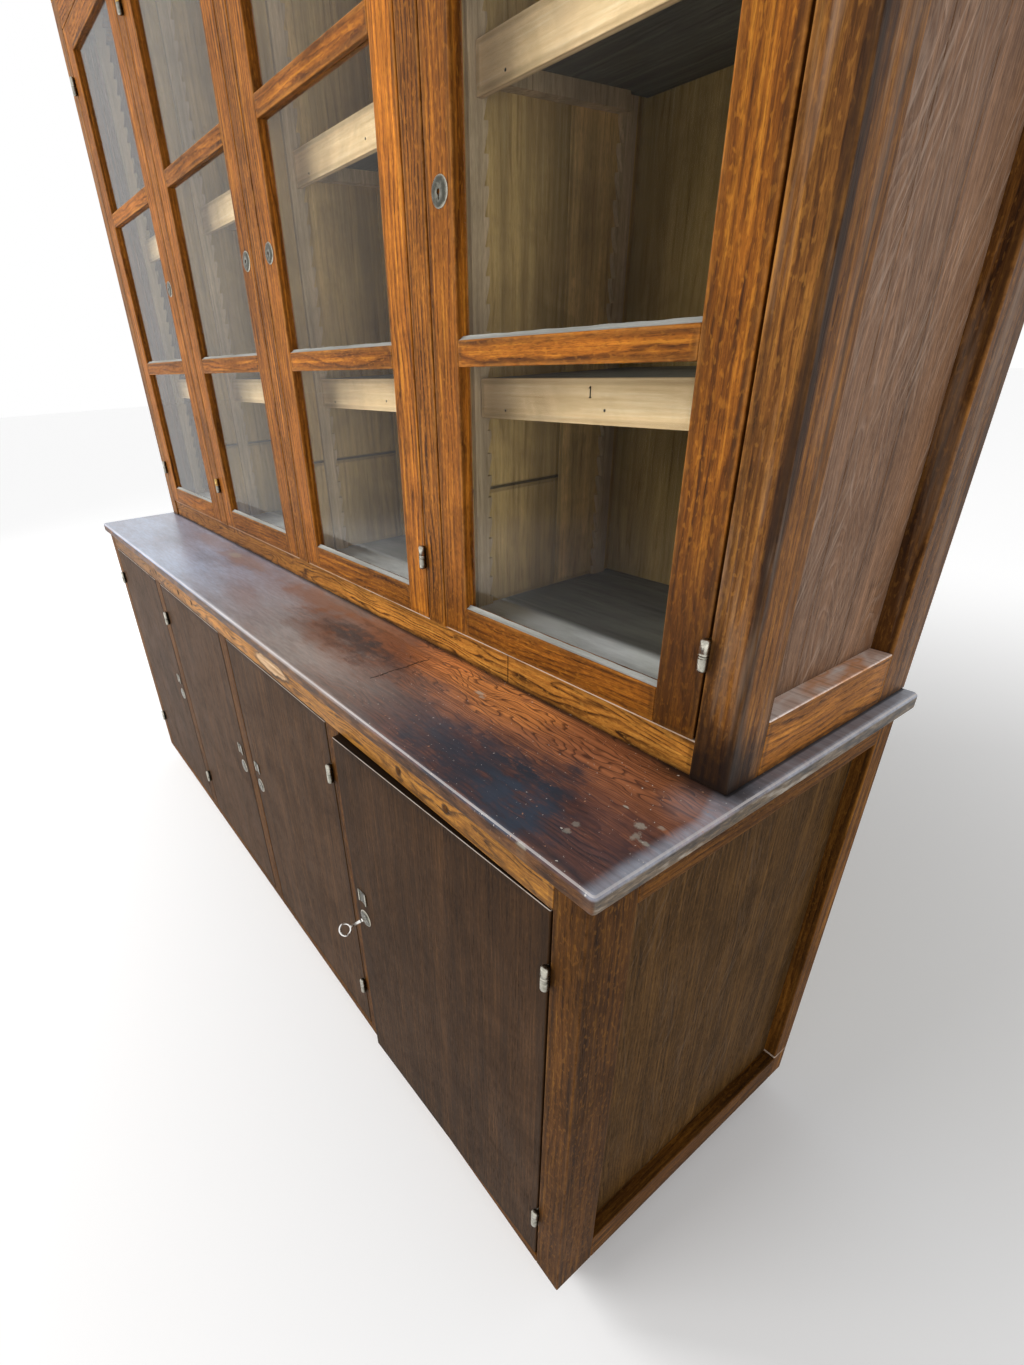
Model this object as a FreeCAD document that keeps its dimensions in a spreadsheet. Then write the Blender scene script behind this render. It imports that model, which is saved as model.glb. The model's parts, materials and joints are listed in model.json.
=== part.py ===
import FreeCAD
import Part
import Sketcher
import os
import re

# Haberdashery cabinet: a closed lower part with four flat doors, a worktop,
# and a glazed upper part with four doors and numbered shelves.
# X runs to the right, Y to the back, Z up. Z = 0 is the floor.

doc = FreeCAD.newDocument("cabinet")

values = [
    # worktop
    ("top_wide", 2170), ("top_deep", 635), ("top_thick", 26), ("top_level", 900),
    ("top_round", 7), ("over_front", 11), ("over_side", 15), ("over_rear", 13),
    # lower carcass
    ("plinth_high", 60), ("plinth_set", 40), ("plinth_board", 20),
    ("low_post", 47), ("low_stile", 75), ("low_rear_stile", 40), ("low_frame", 22),
    ("apron_high", 44.5), ("low_rail", 20), ("low_mullion", 45), ("low_side_rail", 60),
    ("low_side_thick", 34), ("low_recess", 22), ("low_back", 12), ("low_part", 20),
    ("low_shelf", 18), ("low_shelf_level", 450), ("low_shelf_set", 14),
    ("cleat_high", 20), ("cleat_wide", 16),
    # upper carcass
    ("up_side_set", 20), ("up_deep", 410), ("up_rear_set", 1), ("up_post", 48),
    ("up_stile", 60), ("up_rear_stile", 75), ("up_frame", 22), ("up_mullion", 45),
    ("sill_high", 46), ("sill_set", 4), ("up_door_top", 1180), ("up_case_high", 1240),
    ("up_side_rail", 72), ("up_side_thick", 34), ("up_recess", 27), ("up_back", 16),
    ("up_part", 18), ("up_part_joint", 234), ("board_joint", 0.8),
    ("up_floor", 18), ("up_floor_level", 60), ("bearer", 22),
    ("cap_under", 18), ("cap_thick", 22), ("cap_over", 25), ("cap_slope", 14),
    # shelves of the upper part
    ("shelf_thick", 18), ("shelf_set", 99), ("fascia", 12),
    ("fascia_high", 51), ("shelf_play", 0.5),
    ("rack_wide", 30), ("rack_thick", 8), ("rack_front", 76), ("rack_rear_set", 18),
    ("notch_pitch", 32), ("notch_deep", 7.5), ("notch_high", 24), ("notch_first", 14),
    ("bar_wide", 20), ("bar_high", 20), ("bar_land", 1), ("toe_deep", 6.5),
    # doors
    ("gap", 3.2), ("end_gap", 2), ("low_door", 20), ("up_door", 21),
    ("stile", 55), ("door_foot", 44), ("door_head", 50), ("glazing_bar", 30),
    ("glass", 3), ("glass_set", 9), ("ajar", 1.6),
    # hinges
    ("barrel", 5.3), ("proud", 5.6), ("knuckle", 18.5), ("knuckle_play", 0.15),
    ("pin", 2.5), ("pin_long", 14), ("bore", 2.55), ("bore_deep", 15), ("barrel_round", 3.2),
    ("leaf", 1.2), ("leaf_deep", 16), ("leaf_cut", 1.5), ("leaf_play", 0.4),
    ("low_hinge_top", 730), ("low_hinge_foot", 205), ("up_hinge_foot", 152), ("up_hinge_top", 1073),
    # locks and key
    ("lock_in", 29), ("lock_level", 465), ("up_lock_level", 600), ("scutcheon", 16.5),
    ("scutcheon_thick", 2.5), ("scutcheon_rim", 0.8), ("scutcheon_flat", 12),
    ("keyhole", 3), ("keyhole_slot", 2.6), ("keyhole_drop", 8),
    ("plate_wide", 24), ("plate_high", 26), ("plate_thick", 1.2), ("plate_rib", 3),
    ("plate_rib_thick", 2.6), ("plate_rise", 50),
    ("case_long", 44), ("case_wall", 2), ("case_low", 24), ("case_high", 32), ("case_thick", 12), ("case_set", 4),
    ("bolt_long", 34), ("bolt_low", 8), ("bolt_high", 12), ("bolt_thick", 4), ("bolt_set", 8),
    ("bolt_play", 0.1), ("bolt_back", 0.5), ("mortise_play", 1), ("mortise_deep", 8), ("chamber", 7.6),
    ("key_shaft", 2.25), ("key_tip", 14), ("key_hole", 2.3), ("key_hole_deep", 10.2), ("key_bore", 4),
    ("bow_out", 42), ("bow_ring", 10.3), ("bow_wire", 1.5), ("key_turn", 45),
    ("bit_long", 7), ("bit_thick", 2), ("bit_wide", 3.4), ("bit_set", 8.3),
    ("collar", 3.4), ("collar_long", 2.5), ("collar_out", 6),
]

sheet = doc.addObject("Spreadsheet::Sheet", "Sizes")
for row, (name, number) in enumerate(values, 1):
    sheet.set("A%d" % row, name)
    sheet.set("B%d" % row, str(number))
    sheet.setAlias("B%d" % row, name)
doc.recompute()
names = set(name for name, number in values)


def bound(text):
    """Expression text with every size name pointed at the sheet."""
    return re.sub(r"[a-z][a-z_]*", lambda m: "Sizes." + m[0] if m[0] in names else m[0], str(text))


def place(thing, at, axis=None, turn=None):
    for letter, text in zip("xyz", at):
        thing.setExpression(".Placement.Base." + letter, bound(text))
    if axis:
        thing.Placement = FreeCAD.Placement(FreeCAD.Vector(), FreeCAD.Rotation(FreeCAD.Vector(*axis), 1))
        thing.setExpression(".Placement.Rotation.Angle", bound(turn))
    return thing


def board(low, high, label="board"):
    """A plain board between two corners given as expressions."""
    thing = doc.addObject("Part::Box", "Board")
    thing.Label = label
    for side, a, b in zip(("Length", "Width", "Height"), low, high):
        thing.setExpression(side, bound("(%s) - (%s)" % (b, a)))
    return place(thing, low)


def group(label, things):
    thing = doc.addObject("Part::Compound", "Group")
    thing.Label = label
    thing.Links = things
    return thing


def placed(source, at, label="copy", axis=None, turn=None):
    return place(group(label, [source]), at, axis, turn)


def mirrored(source):
    thing = doc.addObject("Part::Mirroring", "Mirror")
    thing.Source = source
    thing.Normal = FreeCAD.Vector(1, 0, 0)
    return thing


def cut(base, tool, label="cut"):
    thing = doc.addObject("Part::Cut", "Cut")
    thing.Label = label
    thing.Base = base
    thing.Tool = tool
    return thing


def new_body(label):
    body = doc.addObject("PartDesign::Body", "Body")
    body.Label = label
    return body


def new_sketch(body, role, offset="0"):
    sketch = body.newObject("Sketcher::SketchObject", "Sketch")
    plane = [f for f in body.Origin.OriginFeatures if f.Role == role][0]
    sketch.AttachmentSupport = [(plane, "")]
    sketch.MapMode = "FlatFace"
    sketch.setExpression(".AttachmentOffset.Base.z", bound(offset))
    return sketch


def pin_point(sketch, curve, point, at):
    for kind, text in zip(("DistanceX", "DistanceY"), at):
        index = sketch.addConstraint(Sketcher.Constraint(kind, -1, 1, curve, point, 1.0))
        sketch.setExpression("Constraints[%d]" % index, bound(text))


def polygon(sketch, points):
    """A closed outline through points given as pairs of expressions."""
    first = sketch.GeometryCount
    count = len(points)
    rough = [FreeCAD.Vector(i, i * i, 0) for i in range(count)]
    for i in range(count):
        sketch.addGeometry(Part.LineSegment(rough[i], rough[(i + 1) % count]), False)
    for i in range(count):
        after = first + (i + 1) % count
        sketch.addConstraint(Sketcher.Constraint("Coincident", first + i, 2, after, 1))
    for i, at in enumerate(points):
        pin_point(sketch, first + i, 1, at)


def rectangle(sketch, x0, y0, x1, y1):
    polygon(sketch, [(x0, y0), (x1, y0), (x1, y1), (x0, y1)])


def circle(sketch, x, y, radius):
    index = sketch.addGeometry(Part.Circle(FreeCAD.Vector(1, 1, 0), FreeCAD.Vector(0, 0, 1), 1), False)
    pin_point(sketch, index, 3, (x, y))
    limit = sketch.addConstraint(Sketcher.Constraint("Radius", index, 1.0))
    sketch.setExpression("Constraints[%d]" % limit, bound(radius))


def pad(body, sketch, length, back=False):
    thing = body.newObject("PartDesign::Pad", "Pad")
    thing.Profile = sketch
    thing.Reversed = back
    thing.setExpression("Length", bound(length))
    doc.recompute()
    return thing


def pocket(body, sketch, depth, back=False):
    """A pocket that must take material away."""
    before = body.Shape.Volume
    thing = body.newObject("PartDesign::Pocket", "Pocket")
    thing.Profile = sketch
    thing.Reversed = back
    thing.setExpression("Length", bound(depth))
    doc.recompute()
    assert body.Shape.Volume < before - 1e-6, body.Label
    return thing


def revolve(body, sketch):
    thing = body.newObject("PartDesign::Revolution", "Turned")
    thing.Profile = sketch
    thing.ReferenceAxis = (sketch, ["V_Axis"])
    doc.recompute()
    return thing


def edges_where(thing, test):
    return ["Edge%d" % i for i, e in enumerate(thing.Shape.Edges, 1) if test(e)]


nodes = []


def node(label, thing):
    thing.Label = label
    nodes.append(thing)
    return thing


# ---- planes shared by the parts -------------------------------------------
low_out = "(top_wide / 2 - over_side)"
low_in = "(top_wide / 2 - over_side - low_post)"
low_face = "(over_front - top_deep / 2)"
low_rear = "(top_deep / 2 - over_rear)"
low_behind = "(over_front - top_deep / 2 + low_frame)"
low_back_face = "(top_deep / 2 - over_rear - low_back)"
under_top = "(top_level - top_thick)"
apron_foot = "(top_level - top_thick - apron_high)"
low_floor = "(plinth_high + low_rail)"
low_pitch = "((2 * %s + low_mullion) / 4)" % low_in

up_out = "(top_wide / 2 - up_side_set)"
up_in = "(top_wide / 2 - up_side_set - up_post)"
up_rear = "(top_deep / 2 - up_rear_set)"
up_face = "(top_deep / 2 - up_rear_set - up_deep)"
up_behind = "(top_deep / 2 - up_rear_set - up_deep + up_frame)"
up_back_face = "(top_deep / 2 - up_rear_set - up_back)"
up_top = "(top_level + up_case_high)"
up_floor_top = "(top_level + up_floor_level)"
up_door_foot = "(top_level + sill_high + end_gap)"
up_door_head = "(top_level + up_door_top - end_gap)"
up_pitch = "((2 * %s + up_mullion) / 4)" % up_in


def centre(pitch, number):
    """Middle of upright 1, 2 or 3 counted from the left."""
    return "(%d * %s)" % (number - 2, pitch)


def walls(inner, pitch, thick, bay):
    """Left and right inner faces of bay 1 to 4."""
    left = "(-%s)" % inner if bay == 1 else "(%s + %s / 2)" % (centre(pitch, bay - 1), thick)
    right = inner if bay == 4 else "(%s - %s / 2)" % (centre(pitch, bay), thick)
    return left, right


def both_sides(x0, x1, y0, y1, z0, z1):
    """The same board on the right and on the left."""
    return [board((x0, y0, z0), (x1, y1, z1)), board(("-" + x1, y0, z0), ("-" + x0, y1, z1))]


# ---- worktop ---------------------------------------------------------------
body = new_body("worktop")
sketch = new_sketch(body, "XY_Plane", under_top)
rectangle(sketch, "-top_wide / 2", "-top_deep / 2", "top_wide / 2", "top_deep / 2")
slab = pad(body, sketch, "top_thick")
bounds = slab.Shape.BoundBox
rounding = body.newObject("PartDesign::Fillet", "Rounding")
rounding.Base = (slab, edges_where(
    slab, lambda e: e.BoundBox.ZLength < 1e-6 and e.CenterOfMass.y < bounds.YMax - 1e-3))
rounding.setExpression("Radius", bound("top_round"))
node("worktop", body)

# ---- lower carcass ---------------------------------------------------------
in_set = "(%s - plinth_set)" % low_out
plinth_front = "(%s + plinth_set)" % low_face
node("plinth", group("plinth", [
    board(("-" + in_set, plinth_front, "0"), (in_set, plinth_front + " + plinth_board", "plinth_high")),
    board(("-" + in_set, low_rear + " - plinth_board", "0"), (in_set, low_rear, "plinth_high")),
] + both_sides("(%s - plinth_board)" % in_set, in_set, plinth_front + " + plinth_board",
               low_rear + " - plinth_board", "0", "plinth_high") + [
    board((centre(low_pitch, k) + " - plinth_board / 2", plinth_front + " + plinth_board", "0"),
          (centre(low_pitch, k) + " + plinth_board / 2", low_rear + " - plinth_board", "plinth_high"))
    for k in (1, 2, 3)]))

node("lower_posts", group("lower_posts",
     both_sides(low_in, low_out, low_face, low_face + " + low_stile", "plinth_high", under_top)
     + both_sides(low_in, low_out, low_rear + " - low_rear_stile", low_rear, "plinth_high", under_top)))

side_front = low_face + " + low_stile"
side_rear = low_rear + " - low_rear_stile"
node("lower_side_rails", group("lower_side_rails",
     both_sides("(%s - low_side_thick)" % low_out, low_out, side_front, side_rear,
                "plinth_high", "plinth_high + low_side_rail")
     + both_sides("(%s - low_side_thick)" % low_out, low_out, side_front, side_rear,
                  apron_foot, under_top)))

node("lower_side_panels", group("lower_side_panels",
     both_sides(low_in, "(%s - low_recess)" % low_out, side_front, side_rear,
                "plinth_high + low_side_rail", apron_foot)))

node("apron_rail", board(("-" + low_in, low_face, apron_foot), (low_in, low_behind, under_top)))
node("lower_bottom_rail", board(("-" + low_in, low_face, "plinth_high"), (low_in, low_behind, low_floor)))

mortise_low = "lock_level + bolt_low - mortise_play"
mortise_high = "lock_level + bolt_low + bolt_high + mortise_play"
mortise_y = low_face + " + bolt_set - mortise_play"
mortise_y_end = low_face + " + bolt_set + bolt_thick + mortise_play"


def mortise(number, side):
    """Pocket for a bolt in the left (-1) or right (1) face of a lower mullion."""
    face = "%s + %d * low_mullion / 2" % (centre(low_pitch, number), side)
    deep = "%s - %d * mortise_deep" % (face, side)
    ends = (deep, face) if side > 0 else (face, deep)
    return board((ends[0], mortise_y, mortise_low), (ends[1], mortise_y_end, mortise_high), "mortise")


mullions = []
for number, sides in ((1, (-1,)), (2, (-1, 1)), (3, (1,))):
    middle = centre(low_pitch, number)
    bar = board((middle + " - low_mullion / 2", low_face, low_floor),
                (middle + " + low_mullion / 2", low_behind, apron_foot))
    for side in sides:
        bar = cut(bar, mortise(number, side))
    mullions.append(bar)
node("lower_mullions", group("lower_mullions", mullions))

node("lower_floor", board(("-" + low_in, low_behind, "plinth_high"), (low_in, low_back_face, low_floor)))
low_plank = "(2 * %s / 4)" % low_in
node("lower_back", group("lower_back", [
    board(("-%s + %d * %s + board_joint / 2" % (low_in, k, low_plank), low_back_face, "plinth_high"),
          ("-%s + %d * %s - board_joint / 2" % (low_in, k + 1, low_plank), low_rear, under_top))
    for k in range(4)]))
node("lower_partitions", group("lower_partitions", [
    board((centre(low_pitch, k) + " - low_part / 2", low_behind, low_floor),
          (centre(low_pitch, k) + " + low_part / 2", low_back_face, under_top))
    for k in (1, 2, 3)]))

low_bays = [walls(low_in, low_pitch, "low_part", bay) for bay in (1, 2, 3, 4)]
node("lower_shelves", group("lower_shelves", [
    board((left + " + shelf_play", low_behind + " + low_shelf_set", "low_shelf_level - low_shelf"),
          (right + " - shelf_play", low_back_face, "low_shelf_level"))
    for left, right in low_bays]))

# ---- upper carcass ---------------------------------------------------------
node("upper_posts", group("upper_posts",
     both_sides(up_in, up_out, up_face, up_face + " + up_stile", "top_level", up_top)
     + both_sides(up_in, up_out, up_rear + " - up_rear_stile", up_rear, "top_level", up_top)))

side_front = up_face + " + up_stile"
side_rear = up_rear + " - up_rear_stile"
node("upper_side_rails", group("upper_side_rails",
     both_sides("(%s - up_side_thick)" % up_out, up_out, side_front, side_rear,
                "top_level", "top_level + up_side_rail")
     + both_sides("(%s - up_side_thick)" % up_out, up_out, side_front, side_rear,
                  up_top + " - up_side_rail", up_top)))

planks = []
plank = "(up_deep - up_stile - up_rear_stile) / 3"
for k in range(3):
    planks += both_sides(up_in, "(%s - up_recess)" % up_out,
                         "%s + up_stile + %d * %s + board_joint / 2" % (up_face, k, plank),
                         "%s + up_stile + %d * %s - board_joint / 2" % (up_face, k + 1, plank),
                         "top_level + up_side_rail", up_top + " - up_side_rail")
node("upper_side_panels", group("upper_side_panels", planks))

node("sill_rail", board(("-" + up_in, up_face + " + sill_set", "top_level"),
                        (up_in, up_behind, "top_level + sill_high")))
node("upper_mullions", group("upper_mullions", [
    board((centre(up_pitch, k) + " - up_mullion / 2", up_face, "top_level + sill_high"),
          (centre(up_pitch, k) + " + up_mullion / 2", up_behind, "top_level + up_door_top"))
    for k in (1, 2, 3)]))
node("upper_top_rail", board(("-" + up_in, up_face, "top_level + up_door_top"), (up_in, up_behind, up_top)))

node("upper_floor", board(("-" + up_in, up_behind, up_floor_top + " - up_floor"),
                          (up_in, up_back_face, up_floor_top)))
node("upper_bearers", group("upper_bearers", [
    board(("-" + up_in, up_behind, "top_level"),
          (up_in, up_behind + " + bearer", up_floor_top + " - up_floor")),
    board(("-" + up_in, up_back_face + " - bearer", "top_level"),
          (up_in, up_back_face, up_floor_top + " - up_floor"))]))
up_plank = "(2 * %s / 8)" % up_in
node("upper_back", group("upper_back", [
    board(("-%s + %d * %s + board_joint / 2" % (up_in, k, up_plank), up_back_face, "top_level"),
          ("-%s + %d * %s - board_joint / 2" % (up_in, k + 1, up_plank), up_rear, up_top))
    for k in range(8)]))
halves = []
for k in (1, 2, 3):
    middle = centre(up_pitch, k)
    joint = up_behind + " + up_part_joint"
    for front, rear in ((up_behind, joint + " - board_joint / 2"),
                        (joint + " + board_joint / 2", up_back_face)):
        halves.append(board((middle + " - up_part / 2", front, up_floor_top),
                            (middle + " + up_part / 2", rear, up_top)))
node("upper_partitions", group("upper_partitions", halves))
node("upper_top", board(("-" + up_out, up_face, up_top), (up_out, up_rear, up_top + " + cap_under")))

body = new_body("cornice")
sketch = new_sketch(body, "XY_Plane", up_top + " + cap_under")
rectangle(sketch, "-%s - cap_over" % up_out, up_face + " - cap_over", up_out + " + cap_over", up_rear)
slab = pad(body, sketch, "cap_thick")
bounds = slab.Shape.BoundBox
slope = body.newObject("PartDesign::Chamfer", "Slope")
slope.Base = (slab, edges_where(
    slab, lambda e: e.BoundBox.ZMax < bounds.ZMin + 1e-3 and e.CenterOfMass.y < bounds.YMax - 1e-3))
slope.setExpression("Size", bound("cap_slope"))
node("cornice", body)

# ---- notched racks, bars and shelves of the upper part ----------------------
rack = new_body("rack")
sketch = new_sketch(rack, "YZ_Plane")
rectangle(sketch, "0", "0", "rack_wide", "up_case_high - up_floor_level")
pad(rack, sketch, "rack_thick")
sketch = new_sketch(rack, "YZ_Plane")
polygon(sketch, [("rack_wide", "notch_first"), ("rack_wide - notch_deep", "notch_first"),
                 ("rack_wide", "notch_first + notch_high")])
notch = pocket(rack, sketch, "rack_thick", back=True)
rack.Tip = notch
row = rack.newObject("PartDesign::LinearPattern", "Row")
row.Originals = [notch]
row.Direction = (sketch, ["V_Axis"])
row.Mode = "Spacing"
row.setExpression("Offset", bound("notch_pitch"))
row.setExpression("Occurrences", bound("floor((up_case_high - up_floor_level - notch_first) / notch_pitch)"))
rack.Tip = row

toe_bar = new_body("toe bar")
sketch = new_sketch(toe_bar, "YZ_Plane")
span = "(up_deep - up_back - rack_rear_set - rack_front - 2 * rack_wide)"
polygon(sketch, [("-toe_deep", "0"), (span + " + toe_deep", "0"), (span, "bar_high - bar_land"),
                 (span, "bar_high"), ("0", "bar_high"), ("0", "bar_high - bar_land")])
pad(toe_bar, sketch, "bar_wide")

up_bays = [walls(up_in, up_pitch, "up_part", bay) for bay in (1, 2, 3, 4)]
# the bars rest in the tenth and the twenty-first notch counted from the floor
shelf_tops = ["(%s + notch_first + %d * notch_pitch + bar_high + shelf_thick)" % (up_floor_top, k)
              for k in (9, 20)]
rear_rack_y = up_back_face + " - rack_rear_set"
racks = []
bars = []
shelves = []
fascias = []
for left, right in up_bays:
    for wall in (left, right + " - rack_thick"):
        racks.append(placed(rack, (wall, up_face + " + rack_front", up_floor_top)))
    for wall in (left + " + rack_thick", right):
        racks.append(placed(rack, (wall, rear_rack_y, up_floor_top), axis=(0, 0, 1), turn="180"))
    for top in shelf_tops:
        for wall in (left, right + " - bar_wide"):
            bars.append(placed(toe_bar, (wall, up_face + " + rack_front + rack_wide",
                                         top + " - shelf_thick - bar_high")))
        inner = (left + " + rack_thick + shelf_play", right + " - rack_thick - shelf_play")
        shelves.append(board((inner[0], up_face + " + shelf_set", top + " - shelf_thick"),
                             (inner[1], up_back_face, top)))
        fascias.append(board((inner[0], up_face + " + shelf_set - fascia", top + " - fascia_high"),
                             (inner[1], up_face + " + shelf_set", top)))
cleats = []
for left, right in low_bays:
    for wall in (left, right + " - cleat_wide"):
        cleats.append(board((wall, low_behind + " + low_shelf_set", "low_shelf_level - low_shelf - cleat_high"),
                            (wall + " + cleat_wide", low_back_face, "low_shelf_level - low_shelf")))
node("shelf_racks", group("shelf_racks", racks))
node("shelf_bearers", group("shelf_bearers", bars))
node("lower_cleats", group("lower_cleats", cleats))
node("upper_shelves", group("upper_shelves", shelves))
node("shelf_fascias", group("shelf_fascias", fascias))

# ---- hinge halves ----------------------------------------------------------
pin_half = new_body("hinge pin half")
sketch = new_sketch(pin_half, "XZ_Plane")
polygon(sketch, [("0", "-knuckle"), ("barrel", "-knuckle"), ("barrel", "-knuckle_play"),
                 ("pin", "-knuckle_play"), ("pin", "pin_long"), ("0", "pin_long")])
turned = revolve(pin_half, sketch)
rounding = pin_half.newObject("PartDesign::Fillet", "Rounding")
rounding.Base = (turned, edges_where(
    turned, lambda e: e.BoundBox.ZMax < turned.Shape.BoundBox.ZMin + 1e-3 and len(e.Vertexes) == 1))
rounding.setExpression("Radius", bound("barrel_round"))
doc.recompute()
sketch = new_sketch(pin_half, "XY_Plane", "-knuckle + leaf_cut")
rectangle(sketch, "gap / 2 - leaf", "0", "gap / 2", "proud + leaf_deep")
pad(pin_half, sketch, "knuckle - leaf_cut - leaf_play")

cap_half = new_body("hinge cap half")
sketch = new_sketch(cap_half, "XZ_Plane")
polygon(sketch, [("bore", "knuckle_play"), ("barrel", "knuckle_play"), ("barrel", "knuckle"),
                 ("0", "knuckle"), ("0", "bore_deep"), ("bore", "bore_deep")])
turned = revolve(cap_half, sketch)
rounding = cap_half.newObject("PartDesign::Fillet", "Rounding")
rounding.Base = (turned, edges_where(
    turned, lambda e: e.BoundBox.ZMin > turned.Shape.BoundBox.ZMax - 1e-3 and len(e.Vertexes) == 1))
rounding.setExpression("Radius", bound("barrel_round"))
doc.recompute()
sketch = new_sketch(cap_half, "XY_Plane", "leaf_play")
rectangle(sketch, "-gap / 2", "bore", "leaf - gap / 2", "proud + leaf_deep")
pad(cap_half, sketch, "knuckle - leaf_cut - leaf_play")
pin_mirror = mirrored(pin_half)
cap_mirror = mirrored(cap_half)

low_levels = ["low_hinge_foot", "low_hinge_top"]
up_levels = ["(top_level + up_hinge_foot)", "(top_level + up_hinge_top)"]
low_mouths = [walls(low_in, low_pitch, "low_mullion", bay) for bay in (1, 2, 3, 4)]
up_mouths = [walls(up_in, up_pitch, "up_mullion", bay) for bay in (1, 2, 3, 4)]


def hung_left(bay):
    return bay < 3


def hinge_x(bay, mouths):
    left, right = mouths[bay - 1]
    return left + " + gap / 2" if hung_left(bay) else right + " - gap / 2"


def lock_x(bay, mouths):
    left, right = mouths[bay - 1]
    return right + " - gap - lock_in" if hung_left(bay) else left + " + gap + lock_in"


def hinge_halves(bay, mouths, face, levels, halves):
    """The halves of one door's hinges; halves holds the right-hand and left-hand half."""
    half = halves[1] if hung_left(bay) else halves[0]
    return [placed(half, (hinge_x(bay, mouths), face + " - proud", level)) for level in levels]


pins = []
for bay in (1, 2, 3, 4):
    pins += hinge_halves(bay, low_mouths, low_face, low_levels, (pin_half, pin_mirror))
    pins += hinge_halves(bay, up_mouths, up_face, up_levels, (pin_half, pin_mirror))
node("hinge_pins", group("hinge_pins", pins))

# ---- lock parts ------------------------------------------------------------
scutcheon = new_body("scutcheon")
sketch = new_sketch(scutcheon, "XY_Plane")
polygon(sketch, [("0", "0"), ("scutcheon", "0"), ("scutcheon", "-scutcheon_rim"),
                 ("scutcheon_flat", "-scutcheon_thick"), ("0", "-scutcheon_thick")])
revolve(scutcheon, sketch)
sketch = new_sketch(scutcheon, "XZ_Plane")
circle(sketch, "0", "0", "keyhole")
pocket(scutcheon, sketch, "scutcheon_thick", back=True)
sketch = new_sketch(scutcheon, "XZ_Plane")
rectangle(sketch, "-keyhole_slot / 2", "-keyhole_drop", "keyhole_slot / 2", "0")
pocket(scutcheon, sketch, "scutcheon_thick", back=True)

card_plate = new_body("card plate")
sketch = new_sketch(card_plate, "XZ_Plane")
rectangle(sketch, "-plate_wide / 2", "-plate_high / 2", "plate_wide / 2", "plate_high / 2")
pad(card_plate, sketch, "plate_thick")
for side in ("-1", "1"):
    sketch = new_sketch(card_plate, "XZ_Plane")
    rectangle(sketch, side + " * (plate_wide / 2 - plate_rib)", "-plate_high / 2",
              side + " * plate_wide / 2", "plate_high / 2")
    pad(card_plate, sketch, "plate_rib_thick")

lock_case = new_body("lock case")
sketch = new_sketch(lock_case, "XZ_Plane", "-case_set")
rectangle(sketch, "-lock_in", "-case_low", "case_long - lock_in", "case_high")
pad(lock_case, sketch, "case_thick", back=True)
sketch = new_sketch(lock_case, "XZ_Plane", "-(bolt_set - bolt_play)")
rectangle(sketch, "-lock_in", "bolt_low - bolt_play",
          "case_long - lock_in - case_wall", "bolt_low + bolt_high + bolt_play")
pocket(lock_case, sketch, "bolt_thick + 2 * bolt_play")
sketch = new_sketch(lock_case, "XZ_Plane", "-(bolt_set - bolt_play)")
circle(sketch, "0", "0", "chamber")
pocket(lock_case, sketch, "bolt_thick + 2 * bolt_play")
sketch = new_sketch(lock_case, "XZ_Plane", "-case_set")
circle(sketch, "0", "0", "key_hole")
pocket(lock_case, sketch, "key_hole_deep")
case_mirror = mirrored(lock_case)

key = new_body("turning key")
sketch = new_sketch(key, "XY_Plane")
polygon(sketch, [("0", "key_tip"), ("key_shaft", "key_tip"), ("key_shaft", "-collar_out"),
                 ("collar", "-collar_out"), ("collar", "-collar_out - collar_long"),
                 ("key_shaft", "-collar_out - collar_long"), ("key_shaft", "bow_ring - bow_out"),
                 ("0", "bow_ring - bow_out")])
revolve(key, sketch)
sketch = new_sketch(key, "XZ_Plane", "bow_out")
circle(sketch, "bow_ring", "0", "bow_wire")
revolve(key, sketch)
sketch = new_sketch(key, "XZ_Plane", "-bit_set")
rectangle(sketch, "-bit_long", "-bit_thick / 2", "0", "bit_thick / 2")
pad(key, sketch, "bit_wide", back=True)

# ---- doors -----------------------------------------------------------------
swing_x = hinge_x(4, low_mouths)
swing_y = low_face + " - proud"


def swung(thing):
    """The thing turned a little about the hinge line of lower door 4."""
    at = ("(%s) * (1 - cos(ajar)) + (%s) * sin(ajar)" % (swing_x, swing_y),
          "(%s) * (1 - cos(ajar)) - (%s) * sin(ajar)" % (swing_y, swing_x), "0")
    return placed(thing, at, axis=(0, 0, 1), turn="ajar")


def hang(label, bay, thing):
    node(label, swung(thing) if bay == 4 else thing)


for bay in (1, 2, 3, 4):
    left, right = low_mouths[bay - 1]
    lock = (lock_x(bay, low_mouths), low_face, "lock_level")
    panel = board((left + " + gap", low_face, low_floor + " + end_gap"),
                  (right + " - gap", low_face + " + low_door", apron_foot + " - end_gap"))
    if hung_left(bay):
        room = (lock[0] + " + lock_in - case_long", lock[0] + " + lock_in")
    else:
        room = (lock[0] + " - lock_in", lock[0] + " - lock_in + case_long")
    recess = board((room[0], low_face + " + case_set", "lock_level - case_low"),
                   (room[1], low_face + " + case_set + case_thick", "lock_level + case_high"))
    drill = doc.addObject("Part::Cylinder", "Drill")
    drill.setExpression("Radius", bound("key_bore"))
    drill.setExpression("Height", bound("case_set"))
    place(drill, lock, axis=(1, 0, 0), turn="-90")
    hang("lower_door_%d_panel" % bay, bay, cut(cut(panel, recess), drill))
    hang("lower_door_%d_hinges" % bay, bay, group("halves", hinge_halves(
        bay, low_mouths, low_face, low_levels, (cap_half, cap_mirror))))
    hang("lower_door_%d_lock" % bay, bay, group("lock", [
        placed(scutcheon, lock),
        placed(card_plate, (lock[0], lock[1], "lock_level + plate_rise")),
        placed(case_mirror if hung_left(bay) else lock_case, lock)]))

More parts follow.
